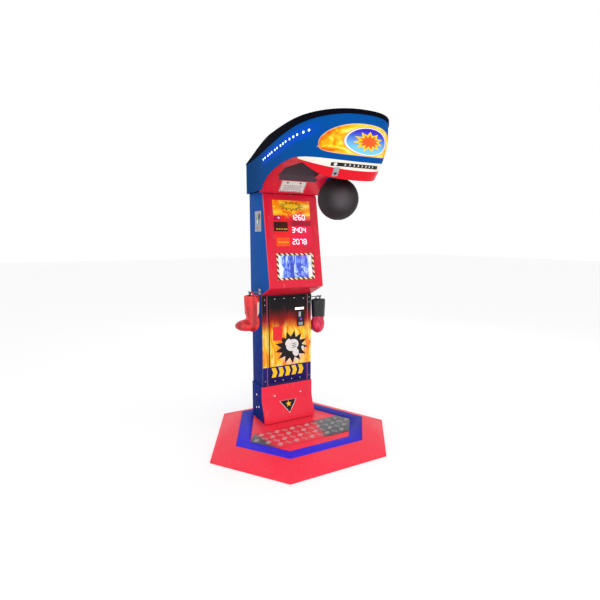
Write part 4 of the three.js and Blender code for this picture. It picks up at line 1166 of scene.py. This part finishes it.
THROAT_LOW, THROAT_HIGH = at(0, 99, 1826), at(0, 0, 1938)
throat_up = (THROAT_HIGH - THROAT_LOW).normalized()
throat = plane(THROAT_LOW, (1, 0, 0), throat_up)
# painted shade: a dark sheet on the throat where the opening's shadow falls
slabs("recess_shade_sheet", throat, [[(-130, 117), (170, 117), (184, 160), (-140, 160)]], 0.8, RECESS_SHADE)
slabs("throat_plate", throat, [rounded(-101, 101, 20, 112, 3)], 1, PALE)
dashes = [[(x, 21), (x + 8, 21), (x + 14, 29), (x + 6, 29)] for x in range(-96, 84, 18)]
dashes += [[(x, z), (x + 6, z + 5), (x + 6, z + 13), (x, z + 8)]
           for x in (-100, 94) for z in range(30, 96, 16)]
slabs("throat_dashes", throat, dashes, 0.5, SPOT, lift=1.4)
grey_print = moulded("grey_print", rgb(150, 146, 144), rgb(120, 116, 114), 0.5)
rules = [box2(-80, 80 - 9 * (i % 3), 38 + 9 * i, 41 + 9 * i) for i in range(5)]
slabs("throat_rules", throat, rules, 0.4, grey_print, lift=1.4)
slabs("throat_dots", throat, [oval(x, 98, 7, 7, steps=14) for x in (-52, 52)], 0.6, SPOT, lift=1.4)

# ---- punching ball

LEATHER = Look("ball_hide")
grain = LEATHER.cells(420.0)
ball_low, ball_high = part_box("punch_ball")
ball_centre, ball_radius = (ball_low + ball_high) / 2, (ball_high.x - ball_low.x) / 2
BALL_HIGHLIGHT = ball_centre + Vector((-0.045, -0.115, -0.01))  # where a painted highlight lightens the hide
spread = [(axis - place) * (axis - place) for axis, place in zip((LEATHER.x, LEATHER.y, LEATHER.z), BALL_HIGHLIGHT)]
off_highlight = LEATHER.math("SQRT", spread[0] + spread[1] + spread[2]) + LEATHER.noise(14.0, 4.0) * 0.03
hide_color = LEATHER.mix(LEATHER.noise(7.0, 5.0), rgb(36, 29, 33), rgb(20, 16, 20))
# painted highlight: the hide is paler round that point on the front of the ball
hide_color = LEATHER.mix(LEATHER.fall(off_highlight, 0.02, 0.115), hide_color, rgb(76, 70, 74))
LEATHER.set(Base_Color=hide_color, Specular_IOR_Level=0.3)
LEATHER.set(Roughness=0.55 + LEATHER.noise(24.0, 4.0) * 0.2)
LEATHER.bump(grain + LEATHER.noise(60.0, 4.0) * 0.6, 0.0005)

PANELS = 6
SEAM_DEPTH, SEAM_WIDE, CROWN_HIGH, HIDE_INSET = 0.0022, 0.0028, 0.0016, 0.0018


def ball():
    """The ball's hide, drawn in along its panel seams."""
    rings, sides = 72, 144
    verts, faces = [], []
    for i in range(rings + 1):
        lat = math.pi * i / rings
        for j in range(sides):
            lon = 2 * math.pi * j / sides
            off = abs((lon * PANELS / (2 * math.pi) + 0.5) % 1 - 0.5) / PANELS * 2 * math.pi
            width = off * math.sin(lat) * ball_radius
            seam = SEAM_DEPTH * math.exp(-((width / SEAM_WIDE) ** 2))
            crown = CROWN_HIGH * math.cos(off * PANELS) * math.sin(lat)
            r = ball_radius - HIDE_INSET - seam + crown
            side = math.sin(lat)
            out = Vector((side * math.cos(lon), side * math.sin(lon), math.cos(lat)))
            verts.append(ball_centre + out * r)
    for i in range(rings):
        for j in range(sides):
            k = (j + 1) % sides
            faces.append([i * sides + j, (i + 1) * sides + j, (i + 1) * sides + k, i * sides + k])
    return piece("punch_ball_hide", verts, faces, LEATHER, "swing", "ball_leather", smooth=80)


hide = weld(ball())
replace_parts(hide, "punch_ball")
for node in ("swing_arm", "pivot_shaft"):
    dress(node, ZINC, 0.6)

# ---- gloves

CLOTH_STEPS = 20
CLOTH_CAP = 0.006
CLOTH_PRESSURE = 4.0
CLOTH_CELL = 0.005


CREASE_DEPTH = 0.0012
STRIPE_X, STRIPE_Z = (-0.262, -0.226), (0.93, 1.03)  # the pale stripe on the left glove


def vinyl(name, stretch, dark, pale):
    """Creased red vinyl, still without its colour set: the look, its red with painted light on the fold
    crests and painted shade in their hollows, and its creases.
    """
    look = Look(name)
    creases = look.noise(22.0, 6.0, (1, 1, 0.6), 0.8)
    folds = look.noise(16.0, 3.0, (1.6, 1.6, stretch), 1.2)
    look.bump(folds * 4.0 + creases + look.cells(520.0) * 0.15, CREASE_DEPTH)
    # painted light and shade: the red is pale on the fold crests and dark in their hollows
    return look, look.mix(look.step(folds, 0.36, 0.66), dark, pale), creases


def striped():
    """Red vinyl with a pale stripe beside the cuff and painted shade in its creases."""
    look, red, creases = vinyl("left_vinyl", 0.35, rgb(150, 8, 26), rgb(244, 40, 44))
    # painted shade: the red darkens in the creases
    red = look.mix(creases * 0.3, red, rgb(178, 10, 26))
    stripe = look.between(look.x, *STRIPE_X, 0.002) * look.between(look.z, *STRIPE_Z, 0.003)
    red = look.mix(stripe, red, rgb(240, 222, 206))
    return look.set(Base_Color=red, Roughness=0.32 + creases * 0.14, Coat_Weight=0.2)


def black_cuffed():
    """Red vinyl with a black cuff and palm, and painted shade in the creases."""
    look, red, creases = vinyl("right_vinyl", 0.5, rgb(176, 14, 44), rgb(232, 48, 92))
    # painted shade: the black darkens in the creases
    black = look.mix(creases, rgb(26, 26, 28), rgb(12, 12, 14))
    high = look.step(look.z + creases * 0.02, 0.886, 0.892)
    look.set(Base_Color=look.mix(high, red, black), Roughness=0.36 + creases * 0.14)
    return look.set(Coat_Weight=0.1)


def glove(node, look):
    """A padded glove: the CAD form remeshed, puffed up as cloth and smoothed."""
    mesh = nodes[node].data.copy()
    obj = bpy.data.objects.new(node + "_padded", mesh)
    bpy.context.scene.collection.objects.link(obj)
    remesh = obj.modifiers.new("remesh", "REMESH")
    remesh.mode, remesh.voxel_size = "VOXEL", CLOTH_CELL
    apply_modifiers(obj)
    rest = np.array([v.co for v in obj.data.vertices])
    rest = puff(obj, rest)
    obj.data.materials.clear()
    obj.data.materials.append(look.material)
    relax = obj.modifiers.new("relax", "SMOOTH")
    relax.factor, relax.iterations = 0.5, 6
    finer = obj.modifiers.new("finer", "SUBSURF")
    finer.levels = finer.render_levels = 1
    apply_modifiers(obj)
    for polygon in obj.data.polygons:
        polygon.use_smooth = True
    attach(obj, body_of[node])
    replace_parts(obj, node)
    return obj


def puff(obj, rest):
    """Runs the cloth under pressure, caps how far each point moves and keeps the result."""
    scene = bpy.context.scene
    cloth = obj.modifiers.new("puff", "CLOTH")
    settings = cloth.settings
    settings.use_pressure, settings.uniform_pressure_force = True, CLOTH_PRESSURE
    settings.effector_weights.gravity = 0.0
    cloth.point_cache.frame_start, cloth.point_cache.frame_end = 1, CLOTH_STEPS
    for step in range(1, CLOTH_STEPS + 1):
        scene.frame_set(step)
    evaluated = obj.evaluated_get(bpy.context.evaluated_depsgraph_get())
    moved = np.array([v.co for v in evaluated.data.vertices])
    obj.modifiers.clear()
    scene.frame_set(1)
    shift = moved - rest
    length = np.linalg.norm(shift, axis=1, keepdims=True)
    shift *= np.minimum(1.0, CLOTH_CAP / np.maximum(length, 1e-9))
    for vert, place in zip(obj.data.vertices, rest + shift):
        vert.co = place
    return rest + shift


glove("glove_left", striped())
glove("glove_right", black_cuffed())

# ---- everything else

REST = {
    "frame_steel": DARK_STEEL, "chrome": CHROME, "zinc_steel": ZINC, "dark_plastic": PLASTIC,
    "circuit_board": BOARD, "rubber": RUBBER,
}
for node, obj in nodes.items():
    if not obj.hide_render:
        repaint(node, REST[slot_of[node]])
repaint("door_hinge", DARK_STEEL)

# ---- stage, light and camera

STAGE = Look("studio_floor")
STAGE.set(Base_Color=STAGE.mix(STAGE.noise(0.6, 2.0) * 0.1, rgb(250, 250, 250), rgb(236, 236, 238)))
STAGE.set(Roughness=0.9)
floor_mesh = bpy.data.meshes.new("studio_floor")
reach = 30.0  # metres
floor_mesh.from_pydata([(-reach, -reach, 0), (reach, -reach, 0), (reach, reach, 0), (-reach, reach, 0)],
                       [], [(0, 1, 2, 3)])
floor_mesh.materials.append(STAGE.material)
floor_obj = bpy.data.objects.new("studio_floor", floor_mesh)
bpy.context.scene.collection.objects.link(floor_obj)

world = bpy.data.worlds.new("studio")
world.use_nodes = True
world.node_tree.nodes["Background"].inputs["Color"].default_value = (1, 1, 1, 1)
world.node_tree.nodes["Background"].inputs["Strength"].default_value = 1.0
bpy.context.scene.world = world


def area_light(name, place, target, size, power, mirrored=False):
    data = bpy.data.lights.new(name, "AREA")
    data.size, data.energy = size, power
    obj = bpy.data.objects.new(name, data)
    obj.visible_glossy = mirrored
    obj.location = place
    aim = Vector(target) - Vector(place)
    obj.rotation_euler = aim.to_track_quat("-Z", "Y").to_euler()
    bpy.context.scene.collection.objects.link(obj)


CHEST = (0, 0, 1.2)
area_light("key", (-2.0, -4.6, 3.6), CHEST, size=2.4, power=42)
area_light("glint", (-1.9, -3.7, 1.75), (0, -0.5, 1.7), size=0.6, power=16, mirrored=True)
area_light("fill", (3.4, -2.6, 2.2), (0, 0, 1.0), size=2.6, power=10)
area_light("rim", (3.0, 3.2, 3.0), CHEST, size=2.0, power=20)

LENS, SENSOR = 26.41, 36  # mm
EYE, TILT, TURN = (-1.527, -2.762, 1.498), 82.09, -28.48  # metres and degrees
camera_data = bpy.data.cameras.new("camera")
camera_data.lens, camera_data.sensor_width = LENS, SENSOR
camera = bpy.data.objects.new("camera", camera_data)
camera.location = EYE
camera.rotation_euler = (math.radians(TILT), 0, math.radians(TURN))
bpy.context.scene.collection.objects.link(camera)
bpy.context.scene.camera = camera
bpy.context.scene.view_settings.view_transform = "Standard"

bpy.context.view_layer.update()
